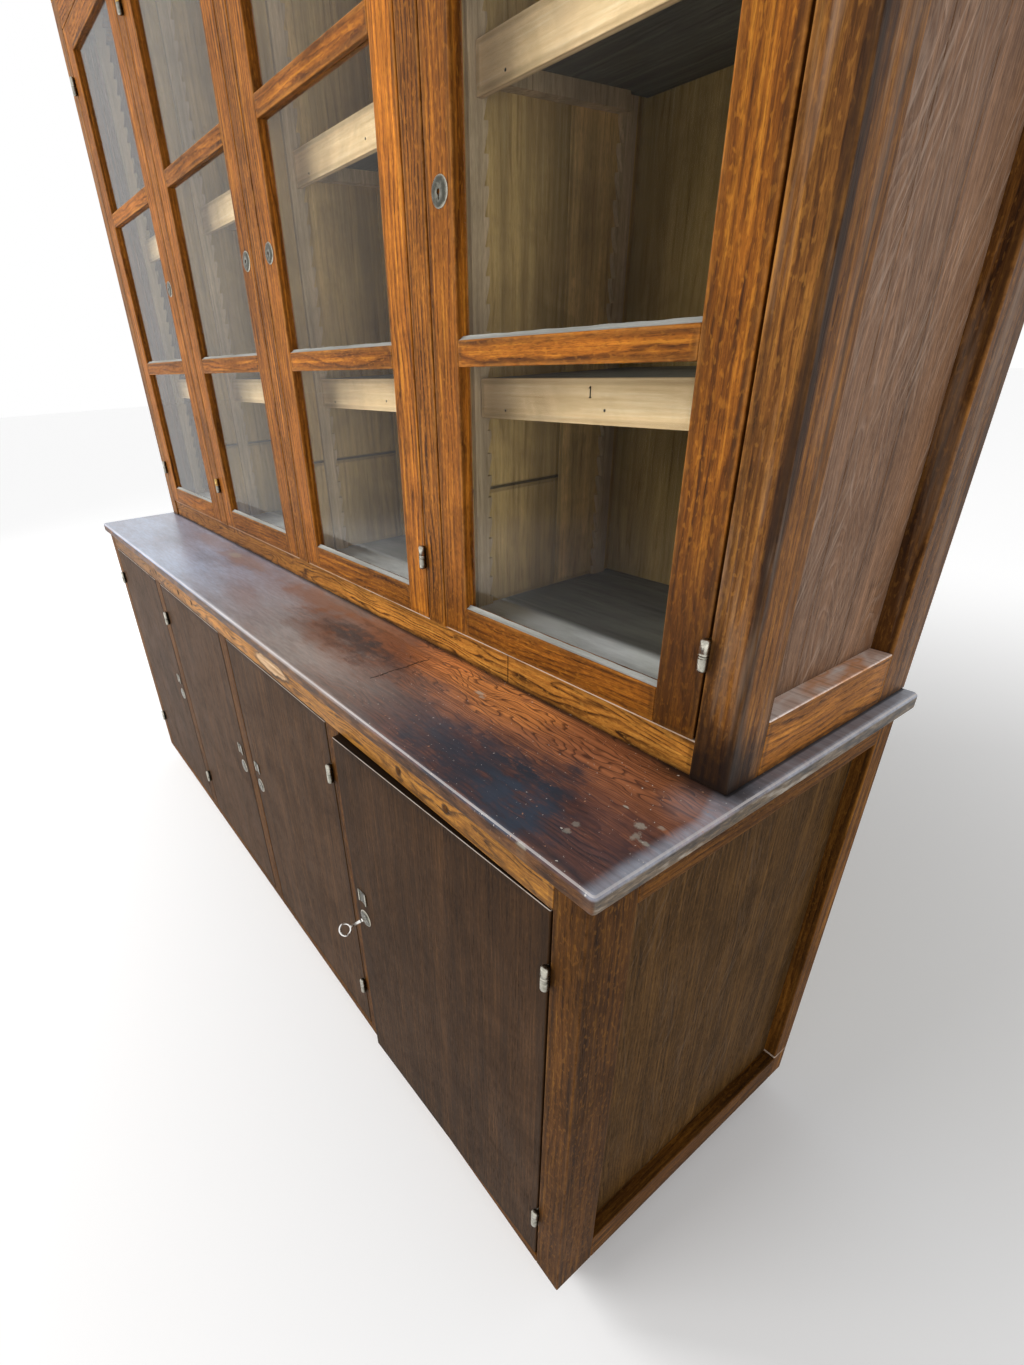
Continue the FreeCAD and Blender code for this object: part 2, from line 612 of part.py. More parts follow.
lock = (lock_x(4, low_mouths), low_face, "lock_level")
hang("lock_key", 4, placed(key, lock, axis=(0, 1, 0), turn="key_turn"))
hang("lock_bolt", 4, board(
    (lock[0] + " - lock_in + bolt_back", low_face + " + bolt_set", "lock_level + bolt_low"),
    (lock[0] + " - lock_in + bolt_back + bolt_long", low_face + " + bolt_set + bolt_thick",
     "lock_level + bolt_low + bolt_high")))

pane = "((%s - %s - door_foot - door_head - 2 * glazing_bar) / 3)" % (up_door_head, up_door_foot)
for bay in (1, 2, 3, 4):
    left, right = up_mouths[bay - 1]
    x0, x1 = left + " + gap", right + " - gap"
    y0, y1 = up_face, up_face + " + up_door"
    parts = [board((x0, y0, up_door_foot), (x0 + " + stile", y1, up_door_head)),
             board((x1 + " - stile", y0, up_door_foot), (x1, y1, up_door_head))]
    panes = []
    step = "(%s + glazing_bar)" % pane
    rails = [(up_door_foot, up_door_foot + " + door_foot"),
             (up_door_head + " - door_head", up_door_head)]
    rails += [("%s + door_foot + %d * %s - glazing_bar" % (up_door_foot, k, step),
               "%s + door_foot + %d * %s" % (up_door_foot, k, step)) for k in (1, 2)]
    for foot, head in rails:
        parts.append(board((x0 + " + stile", y0, foot), (x1 + " - stile", y1, head)))
    for k in range(3):
        foot = "%s + door_foot + %d * %s" % (up_door_foot, k, step)
        panes.append(board((x0 + " + stile", y0 + " + glass_set", foot),
                           (x1 + " - stile", y0 + " + glass_set + glass", foot + " + " + pane)))
    node("upper_door_%d_frame" % bay, group("frame", parts))
    node("upper_door_%d_glass" % bay, group("glass", panes))
    node("upper_door_%d_hinges" % bay, group("halves", hinge_halves(
        bay, up_mouths, up_face, up_levels, (cap_half, cap_mirror))))
    node("upper_door_%d_lock" % bay, placed(
        scutcheon, (lock_x(bay, up_mouths), up_face, "(top_level + up_lock_level)")))

# ---- checks and files -------------------------------------------------------
doc.recompute()
for thing in doc.Objects:
    assert not {"Invalid", "Error"} & set(thing.State), (thing.Label, thing.State)
os.makedirs("parts", exist_ok=True)
for thing in nodes:
    assert not thing.Shape.isNull() and thing.Shape.isValid(), thing.Label
    assert thing.Shape.Solids, thing.Label
    thing.Shape.exportStep("parts/%s.step" % thing.Label)
print(len(nodes), "parts")
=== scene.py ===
import json
import math
import bpy
import numpy as np
from mathutils import Matrix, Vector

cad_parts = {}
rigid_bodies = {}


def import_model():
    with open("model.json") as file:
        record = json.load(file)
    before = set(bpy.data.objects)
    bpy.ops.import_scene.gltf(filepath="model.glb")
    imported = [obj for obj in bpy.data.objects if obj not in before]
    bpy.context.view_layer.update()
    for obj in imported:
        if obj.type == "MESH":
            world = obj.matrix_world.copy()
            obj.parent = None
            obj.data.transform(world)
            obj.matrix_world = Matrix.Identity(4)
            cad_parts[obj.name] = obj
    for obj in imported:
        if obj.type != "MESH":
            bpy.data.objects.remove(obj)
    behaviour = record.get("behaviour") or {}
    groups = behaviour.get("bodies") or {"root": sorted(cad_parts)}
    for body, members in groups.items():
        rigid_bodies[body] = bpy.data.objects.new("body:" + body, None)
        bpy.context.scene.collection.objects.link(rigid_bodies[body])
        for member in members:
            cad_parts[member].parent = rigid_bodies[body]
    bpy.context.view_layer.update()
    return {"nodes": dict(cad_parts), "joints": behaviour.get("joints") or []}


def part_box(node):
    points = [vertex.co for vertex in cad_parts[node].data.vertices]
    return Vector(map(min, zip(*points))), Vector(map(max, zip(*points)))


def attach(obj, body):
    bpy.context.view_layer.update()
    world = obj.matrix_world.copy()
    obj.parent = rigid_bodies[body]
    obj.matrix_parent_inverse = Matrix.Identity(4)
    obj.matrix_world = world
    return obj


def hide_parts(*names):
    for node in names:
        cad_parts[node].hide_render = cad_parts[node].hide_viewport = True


for leftover in list(bpy.data.objects):
    bpy.data.objects.remove(leftover)
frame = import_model()
nodes = frame["nodes"]
joints = {joint["name"]: joint for joint in frame["joints"]}
mm = 0.001
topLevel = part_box("worktop")[1][2]
dice = np.random.default_rng(7)


def makePiece(name, shapes, material, body, stands=()):
    # one mesh object from shapes, riding on a body and standing for CAD nodes
    faces, start = [], 0
    for shape in shapes:
        faces += [(face + start).tolist() for face in shape["faces"]]
        start += len(shape["points"])
    mesh = bpy.data.meshes.new(name)
    mesh.from_pydata(np.concatenate([shape["points"] for shape in shapes]).tolist(), [], faces)
    corners = np.concatenate([part for shape in shapes for part in shape["uvs"]])
    mesh.uv_layers.new(name="grain").data.foreach_set("uv", corners.astype(np.float32).ravel())
    # the per-point value carries rubbed wear and painted highlights; tone is each board's own
    wear = np.concatenate([shape["wear"] for shape in shapes])
    tone = np.concatenate([np.full(len(shape["points"]), shape.get("tone", 1.0)) for shape in shapes])
    for label, numbers in (("worn", wear), ("tone", tone)):
        attribute = mesh.attributes.new(label, "FLOAT", "POINT")
        attribute.data.foreach_set("value", numbers.astype(np.float32))
    mesh.polygons.foreach_set("use_smooth", np.ones(len(faces), bool))
    mesh.set_sharp_from_angle(angle=math.radians(50))
    mesh.materials.append(material)
    piece = bpy.data.objects.new(name, mesh)
    bpy.context.scene.collection.objects.link(piece)
    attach(piece, body)
    if stands:
        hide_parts(*stands)


def gridFaces(rows, columns):
    # quads of a rows x columns grid of points whose last column joins the first, with their places
    r, c = np.meshgrid(np.arange(rows - 1), np.arange(columns), indexing="ij")
    r, c = r.ravel(), c.ravel()
    after = (c + 1) % columns
    quads = np.stack([r * columns + c, r * columns + after,
                      (r + 1) * columns + after, (r + 1) * columns + c], 1)
    return quads, np.stack([r, r, r + 1, r + 1], 1), np.stack([c, c + 1, c + 1, c], 1)


def boardShape(low, high, axis=None, round=1.2 * mm, margin=7 * mm, arc=4, tone=1.0):
    # a rounded rectangle carried along the board's length; uv is metres along and across the grain,
    # shifted by a random amount for each board; the wear value is 1 on the rounded edges and 0 away from
    # them, standing for rubbed wear and a painted highlight there, and a narrow seam beside each rounding
    # keeps the flat faces shaded flat
    low, high = np.asarray(low, float), np.asarray(high, float)
    size = high - low
    if axis is None:
        axis = int(np.argmax(size))
    first, second = (axis + 1) % 3, (axis + 2) % 3
    halfA, halfB, length = size[first] / 2, size[second] / 2, size[axis]
    round = min(round, 0.45 * min(halfA, halfB))
    seam = 0.25 * round
    profile, edge = [], []
    corners = [(1, 1, 0), (-1, 1, 90), (-1, -1, 180), (1, -1, 270)]
    for index, (a, b, base) in enumerate(corners):
        centre = np.array([a * (halfA - round), b * (halfB - round)])
        for t in np.radians(np.linspace(0, 90, arc)) + math.radians(base):
            profile.append([*centre, math.cos(t), math.sin(t)])
            edge.append(1.0)
        nextA, nextB, _ = corners[(index + 1) % 4]
        there = np.array([nextA * (halfA - round), nextB * (halfB - round)])
        run = 2 * (halfA if index % 2 == 0 else halfB) - 2 * round
        gap = min(margin, run * 0.3)
        t = math.radians(base + 90)
        step = np.array([-math.sin(t), math.cos(t)])
        sides = (centre + step * seam, centre + step * gap, there - step * gap, there - step * seam)
        for point, rubbed in zip(sides, (0.9, 0.0, 0.0, 0.9)):
            profile.append([*point, math.cos(t), math.sin(t)])
            edge.append(rubbed)
    profile, edge = np.array(profile), np.array(edge)
    # the two ends are rounded in four steps, each a little further in
    lift = np.radians([12, 40, 65, 90])
    along = [*(round * (1 - np.cos(lift))), round + seam, round + min(margin, length * 0.3)]
    along = np.array(along + [length - a for a in along[::-1]])
    inset = [*(round * (1 - np.sin(lift))), 0, 0]
    inset = np.array(inset + inset[::-1])
    ends = [1.0] * 4 + [0.9, 0]
    ends = np.array(ends + ends[::-1])
    cross = profile[None, :, :2] + profile[None, :, 2:] * (round - inset)[:, None, None]
    rows, columns = len(along), len(profile)
    points = np.empty((rows, columns, 3))
    middle = (low + high) / 2
    points[..., first] = middle[first] + cross[..., 0]
    points[..., second] = middle[second] + cross[..., 1]
    points[..., axis] = low[axis] + along[:, None]
    wear = np.maximum(edge[None, :], ends[:, None])
    full = profile[:, :2] + profile[:, 2:] * round
    around = np.concatenate([[0], np.cumsum(np.linalg.norm(np.roll(full, -1, 0) - full, axis=1))])
    shift = dice.uniform(0, 40, 2)
    quads, r, c = gridFaces(rows, columns)
    faces = list(quads)
    uvs = [(np.stack([along[r], around[c]], 2) + shift).reshape(-1, 2)]
    for loop in (np.arange(columns)[::-1], (rows - 1) * columns + np.arange(columns)):
        faces.append(loop)
        uvs.append(cross.reshape(-1, 2)[loop] * [0.35, 1.0] + shift)
    return {"points": points.reshape(-1, 3), "faces": faces, "uvs": uvs, "wear": wear.ravel(),
            "tone": dice.uniform(0.88, 1.12) * tone}


def latheShape(profile, axis=2, segments=40, rubbed=0.0):
    # a profile of (radius, height) pairs turned about an axis through the origin; radius 0 closes an end
    radius, height = np.array(profile, float).T[..., None]
    turn = np.linspace(0, 2 * np.pi, segments, endpoint=False)
    points = np.empty((len(radius), segments, 3))
    points[..., (axis + 1) % 3] = radius * np.cos(turn)
    points[..., (axis + 2) % 3] = radius * np.sin(turn)
    points[..., axis] = height
    quads, r, c = gridFaces(len(radius), segments)
    uvs = np.stack([height[r, 0], c / segments * 0.03], 2).reshape(-1, 2)
    points = points.reshape(-1, 3)
    return {"points": points, "faces": list(quads), "uvs": [uvs], "wear": np.full(len(points), rubbed)}


def ringShape(centre, ringRadius, wire, across, along, segments=48, sides=16):
    # a torus: a small circle carried round a large one that lies in the plane of two unit vectors
    across, along = np.asarray(across, float), np.asarray(along, float)
    big = np.linspace(0, 2 * np.pi, segments, endpoint=False)[:, None, None]
    small = np.linspace(0, 2 * np.pi, sides, endpoint=False)[None, :, None]
    out = across * np.cos(big) + along * np.sin(big)
    points = np.asarray(centre) + out * (ringRadius + wire * np.cos(small))
    points = points + np.cross(across, along) * wire * np.sin(small)
    quads = gridFaces(segments + 1, sides)[0] % (segments * sides)
    return {"points": points.reshape(-1, 3), "faces": list(quads), "uvs": [np.zeros((len(quads) * 4, 2))],
            "wear": np.ones(segments * sides)}


def flip(shape):
    # turns a shape's faces the other way
    cuts = np.cumsum([len(face) for face in shape["faces"]])[:-1]
    corners = np.split(np.concatenate(shape["uvs"]), cuts)
    return {**shape, "faces": [face[::-1] for face in shape["faces"]],
            "uvs": [part[::-1] for part in corners]}


def moved(shape, change):
    return {**shape, "points": change(shape["points"])}


def nodeBoxes(name):
    # the corner pairs of a node's plain boards, twelve triangles to a board
    mesh = nodes[name].data
    places = np.empty(len(mesh.vertices) * 3)
    mesh.vertices.foreach_get("co", places)
    corners = np.empty(len(mesh.polygons) * 3, int)
    mesh.polygons.foreach_get("vertices", corners)
    boards = places.reshape(-1, 3)[corners].reshape(-1, 36, 3)
    return [(board.min(0), board.max(0)) for board in boards]


print("meshes ready")


def linear(text):
    # sRGB hex to the linear colour that sockets take
    parts = [int(text[i:i + 2], 16) / 255 for i in (1, 3, 5)]
    return [p / 12.92 if p <= 0.04045 else ((p + 0.055) / 1.055) ** 2.4 for p in parts] + [1]


def addNode(tree, kind, settings=None, values=None, links=None):
    # a node with its settings, its socket values and its incoming links
    node = tree.nodes.new(kind)
    for key, value in (settings or {}).items():
        setattr(node, key, value)
    for key, value in (values or {}).items():
        node.inputs[key].default_value = value
    for key, source in (links or {}).items():
        tree.links.new(source, node.inputs[key])
    return node


def give(tree, socket, value):
    # a socket takes a link, a hex colour or a plain value
    if isinstance(value, bpy.types.NodeSocket):
        tree.links.new(value, socket)
    elif value is not None:
        socket.default_value = linear(value) if isinstance(value, str) else value


def colourRamp(tree, source, *stops):
    # stops are (place, hex colour or grey level)
    node = addNode(tree, "ShaderNodeValToRGB", links={"Fac": source})
    elements = node.color_ramp.elements
    while len(elements) < len(stops):
        elements.new(0.5)
    for element, (place, colour) in zip(elements, stops):
        element.position = place
        element.color = linear(colour) if isinstance(colour, str) else [colour] * 3 + [1]
    return node.outputs["Color"]


def blendColour(tree, share, under, over, how="MIX"):
    node = addNode(tree, "ShaderNodeMix", {"data_type": "RGBA", "blend_type": how})
    for index, value in ((0, share), (6, under), (7, over)):
        give(tree, node.inputs[index], value)
    return node.outputs[2]


def calculate(tree, how, *values, clamp=False):
    node = addNode(tree, "ShaderNodeMath", {"operation": how, "use_clamp": clamp})
    for socket, value in zip(node.inputs, values):
        give(tree, socket, value)
    return node.outputs[0]


def product(tree, *factors):
    total = factors[0]
    for factor in factors[1:]:
        total = calculate(tree, "MULTIPLY", total, factor)
    return total


def stain(tree, colour, over, *shares):
    # lays a colour over another where all the shares are high
    return blendColour(tree, product(tree, *shares), colour, over)


def inverse(tree, value):
    return calculate(tree, "SUBTRACT", 1.0, value)


def span(tree, value, start, stop, low=0.0, high=1.0):
    # rises smoothly from low to high while the value goes from start to stop
    return addNode(tree, "ShaderNodeMapRange", {"interpolation_type": "SMOOTHSTEP"},
                   {"From Min": start, "From Max": stop, "To Min": low, "To Max": high},
                   {"Value": value}).outputs[0]


def thinLine(tree, value, at, half):
    # 1 where a coordinate lies within a small distance of a place
    return calculate(tree, "COMPARE", value, at, half)


def axesOf(tree, place):
    return addNode(tree, "ShaderNodeSeparateXYZ", links={0: place}).outputs


def noise(tree, source, scale=1.0, detail=3.0, rough=0.55, warp=0.0):
    return addNode(tree, "ShaderNodeTexNoise", {"noise_dimensions": "3D"},
                   {"Scale": scale, "Detail": detail, "Roughness": rough, "Distortion": warp},
                   {"Vector": source}).outputs["Fac"]


def drawnNoise(tree, source, scale, shift=(0, 0, 0), detail=4, rough=0.65, warp=0.0):
    # noise whose patches are drawn out: scale is patches per metre along each axis
    node = addNode(tree, "ShaderNodeMapping", {"vector_type": "POINT"},
                   {"Scale": scale, "Location": shift}, {"Vector": source})
    return noise(tree, node.outputs[0], 1, detail, rough, warp)


def ellipsoid(tree, place, centre, reach, soft, rim):
    # 1 inside an ellipsoid about a point in metres, fading over soft; rim pushes its surface in and out
    shifted = addNode(tree, "ShaderNodeVectorMath", {"operation": "SUBTRACT"}, {1: centre}, {0: place})
    scaled = addNode(tree, "ShaderNodeVectorMath", {"operation": "DIVIDE"}, {1: reach},
                     {0: shifted.outputs[0]})
    far = addNode(tree, "ShaderNodeVectorMath", {"operation": "LENGTH"}, links={0: scaled.outputs[0]})
    return span(tree, calculate(tree, "ADD", far.outputs["Value"], rim), 1 + soft, 1 - soft)


def spotMask(tree, place, centre, reach, soft, ragged):
    # a spot whose rim is broken up by noise; ragged gives its scale and strength
    rim = calculate(tree, "SUBTRACT", noise(tree, place, ragged[0], 5, 0.65), 0.5)
    return ellipsoid(tree, place, centre, reach, soft, product(tree, rim, ragged[1]))


def topMask(tree, place, x, y, long, wide, soft, rough):
    # a spot on the worktop, half as long and half as wide as given, its rim drawn out into tongues along X
    tongues = drawnNoise(tree, place, (9, 60, 60), detail=5)
    both = calculate(tree, "ADD", tongues, noise(tree, place, 22, 4, 0.6))
    rim = product(tree, calculate(tree, "SUBTRACT", both, 1.0), rough)
    return ellipsoid(tree, place, (x, y, topLevel), (long, wide, 1), soft, rim)


def newMaterial(name):
    material = bpy.data.materials.new(name)
    material.use_nodes = True
    tree = material.node_tree
    return material, tree, tree.nodes["Principled BSDF"].inputs


def woodMaterial(name, look):
    # Oak or pine under an old finish: dark open pores in rows along each growth ring, flame lines where
    # the cut is slanting, pale ray flecks where it is square, and dirt rubbed into edges and hollows.
    look = {**woodBase, **look}
    material, tree, inputs = newMaterial(name)
    place = addNode(tree, "ShaderNodeTexCoord").outputs["Object"]
    onPiece = look["along"] is None
    if onPiece:
        grain = addNode(tree, "ShaderNodeUVMap", {"uv_map": "grain"}).outputs[0]
        worn = addNode(tree, "ShaderNodeAttribute", {"attribute_name": "worn"}).outputs["Fac"]
        crosswise = axesOf(tree, grain)[1]
    else:
        # a CAD node has no uv: its object coordinates are turned so that X runs along the grain
        turns = {"x": (0, 0, 0), "z": (0, math.radians(90), 0)}
        grain = addNode(tree, "ShaderNodeMapping", None, {"Rotation": turns[look["along"]]},
                        {"Vector": place}).outputs[0]
        crosswise = calculate(tree, "ADD", *axesOf(tree, grain)[1:3])
    # ring count across the board, bent by slow noise along it: r = across / ring + bend
    wide = look["flameWide"]
    slow = drawnNoise(tree, grain, (look["flameLength"], wide, wide), detail=2, rough=0.45)
    ripple = drawnNoise(tree, grain, (14, 60, 60), (2, 7, 3), 2, 0.5)
    bend = calculate(tree, "MULTIPLY_ADD", slow, look["flame"], product(tree, ripple, 0.9))
    phase = calculate(tree, "FRACT", calculate(tree, "MULTIPLY_ADD", crosswise, 1000 / look["ring"], bend))
    # each ring starts with a dark porous line and fades to dense pale wood
    broken = drawnNoise(tree, grain, (9, 40, 40), (5, 1, 8), 3, 0.6)
    band = colourRamp(tree, phase, (0.0, 1.0), (0.12, 0.85), (0.45, 0.2), (0.85, 0.0), (0.97, 0.5))
    band = product(tree, band, colourRamp(tree, broken, (0.35, 0.25), (0.62, 1.0)))
    streak = drawnNoise(tree, grain, (5, 170, 170), (1, 2, 9))
    figure = calculate(tree, "SUBTRACT", streak, product(tree, band, look["flameShare"]))
    colour = colourRamp(tree, figure, (0.16, look["dark"]), (0.36, look["mid"]), (0.52, look["mid2"]),
                        (0.68, look["light"]))
    if look["ringShare"]:
        # slanting cuts show each ring as a dark line, sharp on one side
        line = colourRamp(tree, phase, (0.0, 0.0), (0.07, 1.0), (0.2, 0.75), (0.42, 0.0))
        whole = colourRamp(tree, broken, (0.36, 0.2), (0.58, 1.0))
        colour = stain(tree, colour, look.get("ringColour", look["dark"]), line, whole, look["ringShare"])
    # broad change of tone from board to board and along each
    broad = drawnNoise(tree, grain, (1.6, 9, 9), (3, 5, 1), 3, 0.55)
    tone = calculate(tree, "MULTIPLY_ADD", colourRamp(tree, broad, (0.3, 0.0), (0.7, 1.0)),
                     look["toneHigh"] - look["toneLow"], look["toneLow"])
    if onPiece:
        board = addNode(tree, "ShaderNodeAttribute", {"attribute_name": "tone"}).outputs["Fac"]
        tone = product(tree, tone, board)
    # soft runs of darker and lighter polish along the grain, 2 to 3 cm wide
    runs = drawnNoise(tree, grain, (1.5, 40, 40), (6, 3, 2), 3, 0.55)
    runs = colourRamp(tree, runs, (0.34, 0.0), (0.66, 1.0))
    runs = calculate(tree, "MULTIPLY_ADD", runs, 2 * look["runShare"], 1 - look["runShare"])
    colour = blendColour(tree, 1.0, colour, product(tree, tone, runs), "MULTIPLY")
    # pores: dashes about 2 mm wide, four times the real width, so that they show at all
    dash, fine = look["dash"], 1000 / look["pore"]
    pores = drawnNoise(tree, grain, (dash, fine, fine), detail=2, rough=0.5)
    pores = colourRamp(tree, pores, (0.5, 0.0), (0.6, 1.0))
    pores = product(tree, pores, calculate(tree, "MULTIPLY_ADD", band, 0.6, 0.4))
    filled = drawnNoise(tree, grain, (3, 24, 24), (7, 1, 4), 3, 0.6)
    pores = product(tree, pores, colourRamp(tree, filled, (0.38, 0.3), (0.6, 1.0)))
    hairs = drawnNoise(tree, grain, (dash * 2.6, fine * 2, fine * 2), (4, 4, 2), 2, 0.6)
    hairs = colourRamp(tree, hairs, (0.5, 0.0), (0.62, 1.0))
    colour = stain(tree, colour, look["dark"], hairs, look["hairShare"])
    colour = stain(tree, colour, look["poreColour"], pores, look["poreShare"])
    if look["fleck"]:
        flecks = drawnNoise(tree, grain, (95, 240, 240), (8, 2, 4), 2, 0.5, 0.4)
        flecks = colourRamp(tree, flecks, (0.55, 0.0), (0.66, 1.0))
        colour = stain(tree, colour, look["light"], flecks, look["fleck"])
    # hand marks and dirt, then rounded edges rubbed and given a painted highlight, with dirt and painted
    # shade beside them
    smear = noise(tree, place, look["smearScale"], 6, 0.68, 0.6)
    grime = colourRamp(tree, smear, (0.44, 0.0), (0.68, 1.0))
    colour = stain(tree, colour, look["grime"], grime, look["grimeShare"])
    if onPiece:
        # the rounded edges are lighter: rubbed wear and a painted highlight
        rub = colourRamp(tree, noise(tree, place, 38, 4, 0.7), (0.42, 0.1), (0.62, 1.0))
        colour = stain(tree, colour, look["edge"], calculate(tree, "POWER", worn, 2.2), rub, 0.55)
        # dirt and painted shade gather beside the rounded edge
        colour = stain(tree, colour, look["grime"], worn, inverse(tree, worn), 1.4)
    roughness = calculate(tree, "MULTIPLY_ADD", smear, 0.25, look["rough"] - 0.12)
    for extra in look["extras"]:
        colour, roughness = extra(tree, place, grain, colour, roughness)
    give(tree, inputs["Base Color"], colour)
    roughness = calculate(tree, "ADD", roughness, product(tree, pores, 0.15), clamp=True)
    give(tree, inputs["Roughness"], roughness)
    height = calculate(tree, "SUBTRACT", product(tree, streak, 0.35), pores)
    bump = addNode(tree, "ShaderNodeBump", None, {"Strength": 0.35, "Distance": 0.4 * mm}, {"Height": height})
    give(tree, inputs["Normal"], bump.outputs[0])
    inputs["IOR"].default_value = 1.5
    inputs["Specular IOR Level"].default_value = look["gloss"]
    inputs["Coat Weight"].default_value = look["coat"]
    if look["coat"]:
        # the varnish is left on the upper face alone, and least at the right end
        sides = axesOf(tree, place)
        upper = span(tree, sides["Z"], topLevel - 3 * mm, topLevel - 0.5 * mm, 0.08, look["coat"])
        give(tree, inputs["Coat Weight"], product(tree, upper, span(tree, sides["X"], 0.9, -0.1, 0.3, 1.0)))
        inputs["Coat Roughness"].default_value = look["coatRough"]
    return material


def metalMaterial(name, look):
    # Worn plated brass: bright where hands rub it and where a highlight is painted on, dull, dark and
    # speckled elsewhere.
    look = {**metalBase, **look}
    material, tree, inputs = newMaterial(name)
    place = addNode(tree, "ShaderNodeTexCoord").outputs["Object"]
    worn = addNode(tree, "ShaderNodeAttribute", {"attribute_name": "worn"}).outputs["Fac"]
    tarnish = noise(tree, place, look["scale"], 5, 0.7)
    speckle = colourRamp(tree, tarnish, (0.42, 0.0), (0.66, 1.0))
    share = calculate(tree, "MULTIPLY_ADD", speckle, look["speckle"], inverse(tree, worn), clamp=True)
    give(tree, inputs["Base Color"], blendColour(tree, share, look["bright"], look["dull"]))
    roughness = calculate(tree, "MULTIPLY_ADD", tarnish, look["spread"], look["rough"])
    give(tree, inputs["Roughness"], roughness)
    bump = addNode(tree, "ShaderNodeBump", None, {"Strength": 0.2, "Distance": 0.1 * mm},
                   {"Height": noise(tree, place, 900, 3)})
    give(tree, inputs["Normal"], bump.outputs[0])
    inputs["Metallic"].default_value = 1
    return material


def glassMaterial(name):
    # Old drawn sheet glass: clear and faintly green. Its index is lower than glass has, and the mirror share
    # is held down, because a white studio would lay a veil over the slanting panes.
    material, tree, inputs = newMaterial(name)
    place = addNode(tree, "ShaderNodeTexCoord").outputs["Object"]
    film = colourRamp(tree, noise(tree, place, 6, 5, 0.7), (0.35, "#FFFFFF"), (0.75, "#F1F3EC"))
    give(tree, inputs["Base Color"], film)
    inputs["Roughness"].default_value = 0
    inputs["Transmission Weight"].default_value = 1
    inputs["IOR"].default_value = 1.2
    inputs["Specular Tint"].default_value = linear("#3C3C3C")
    # light on its way to what is inside passes straight through
    rays = addNode(tree, "ShaderNodeLightPath").outputs
    passing = calculate(tree, "MAXIMUM", rays["Is Shadow Ray"], rays["Is Diffuse Ray"])
    give(tree, inputs["Alpha"], inverse(tree, passing))
    return material


topMarks = {
    # spots: x and y of the middle, half length, half width, then strength and colour; metres throughout
    "rubbed": [(0.80, -0.13, 0.25, 0.085, 0.85, "#BE7A4C"), (0.585, -0.112, 0.1, 0.055, 1.0, "#E8924E"),
               (0.73, -0.128, 0.11, 0.042, 0.9, "#E8964F"), (0.985, -0.14, 0.13, 0.08, 0.6, "#A86842"),
               (0.42, -0.16, 0.16, 0.09, 0.7, "#8E5638"), (-0.02, -0.16, 0.14, 0.05, 0.4, "#7E5240")],
    "ink": [(0.815, -0.262, 0.085, 0.052, 0.85), (0.925, -0.272, 0.07, 0.07, 0.95),
            (0.745, -0.262, 0.06, 0.03, 0.6), (0.87, -0.21, 0.1, 0.03, 0.6), (0.748, -0.064, 0.1, 0.03, 0.5),
            (0.337, -0.165, 0.08, 0.032, 0.85), (0.42, -0.19, 0.12, 0.035, 0.8),
            (0.66, -0.10, 0.03, 0.012, 0.5)],
    "through": [(0.13, -0.132, 0.15, 0.028, 0.6, "#8A5C44"), (-0.27, -0.136, 0.13, 0.028, 0.5, "#9A7864"),
                (0.32, -0.22, 0.12, 0.028, 0.4, "#6A4634"), (0.02, -0.24, 0.1, 0.028, 0.3, "#84655A"),
                (-0.55, -0.13, 0.12, 0.028, 0.4, "#A08C86")],
    # drips and rings, their half sizes in millimetres
    "drips": [(1.041, -0.204, 6, 5, 0.5), (1.049, -0.221, 3.5, 8, 0.4), (1.062, -0.222, 6, 3, 0.5),
              (0.998, -0.253, 4, 4, 0.35), (1.000, -0.268, 4, 4, 0.4), (0.694, -0.142, 9, 4, 0.6),
              (0.706, -0.148, 5, 3, 0.5), (0.985, -0.318, 7, 3, 0.5), (1.01, -0.19, 4, 1.5, 0.8),
              (-0.35, -0.134, 30, 12, 0.45), (1.057, -0.19, 4, 3, 0.4)],
    # single spots: middle, half sizes, softness and raggedness of the rim
    "bareWood": (0.78, -0.14, 0.34, 0.13, 0.4, 1.2), "blueInk": (0.93, -0.285, 0.06, 0.04, 0.5, 1.5),
    "keptDark": (0.41, -0.165, 0.17, 0.055, 0.5, 1.8),
    "footBloom": ((1.055, -0.125, topLevel), (0.03, 0.035, 1), 0.7, (14, 0.8)),
    "footDirt": ((1.03, -0.08, topLevel), (0.075, 0.035, 1), 0.6, (24, 1.2)),
    "specked": ((0.88, -0.2, topLevel), (0.42, 0.2, 1), 0.5, (6, 0.8)),
    # along one axis: from, to and, where they aren't 0 and 1, the least and the most
    "nearBloom": (0.87, 0.3, 0.1, 0.75), "farBloom": (0.1, -0.6, 0, 0.25), "backBloom": (0.62, 0.0, 0.1, 0.8),
    "frontBloom": (-0.10, -0.29), "warmBloom": (0.85, 0.55), "coldBloom": (0.4, -0.35),
    "endBloom": (1.062, 1.080, 0, 0.95), "besidePost": (-0.16, -0.09, 0, 0.02),
    "darkLineY": (-0.100, -0.091), "darkLineX": (1.0690, 1.0665),
    "edgeSide": (0.8972, 0.8925), "edgeFront": (-0.314, -0.3165),
    # thin lines: middle and half width
    "splitX": (0.551, 0.0016), "splitY": (-0.185, 0.055), "noseZ": (0.8984, 0.0009)}


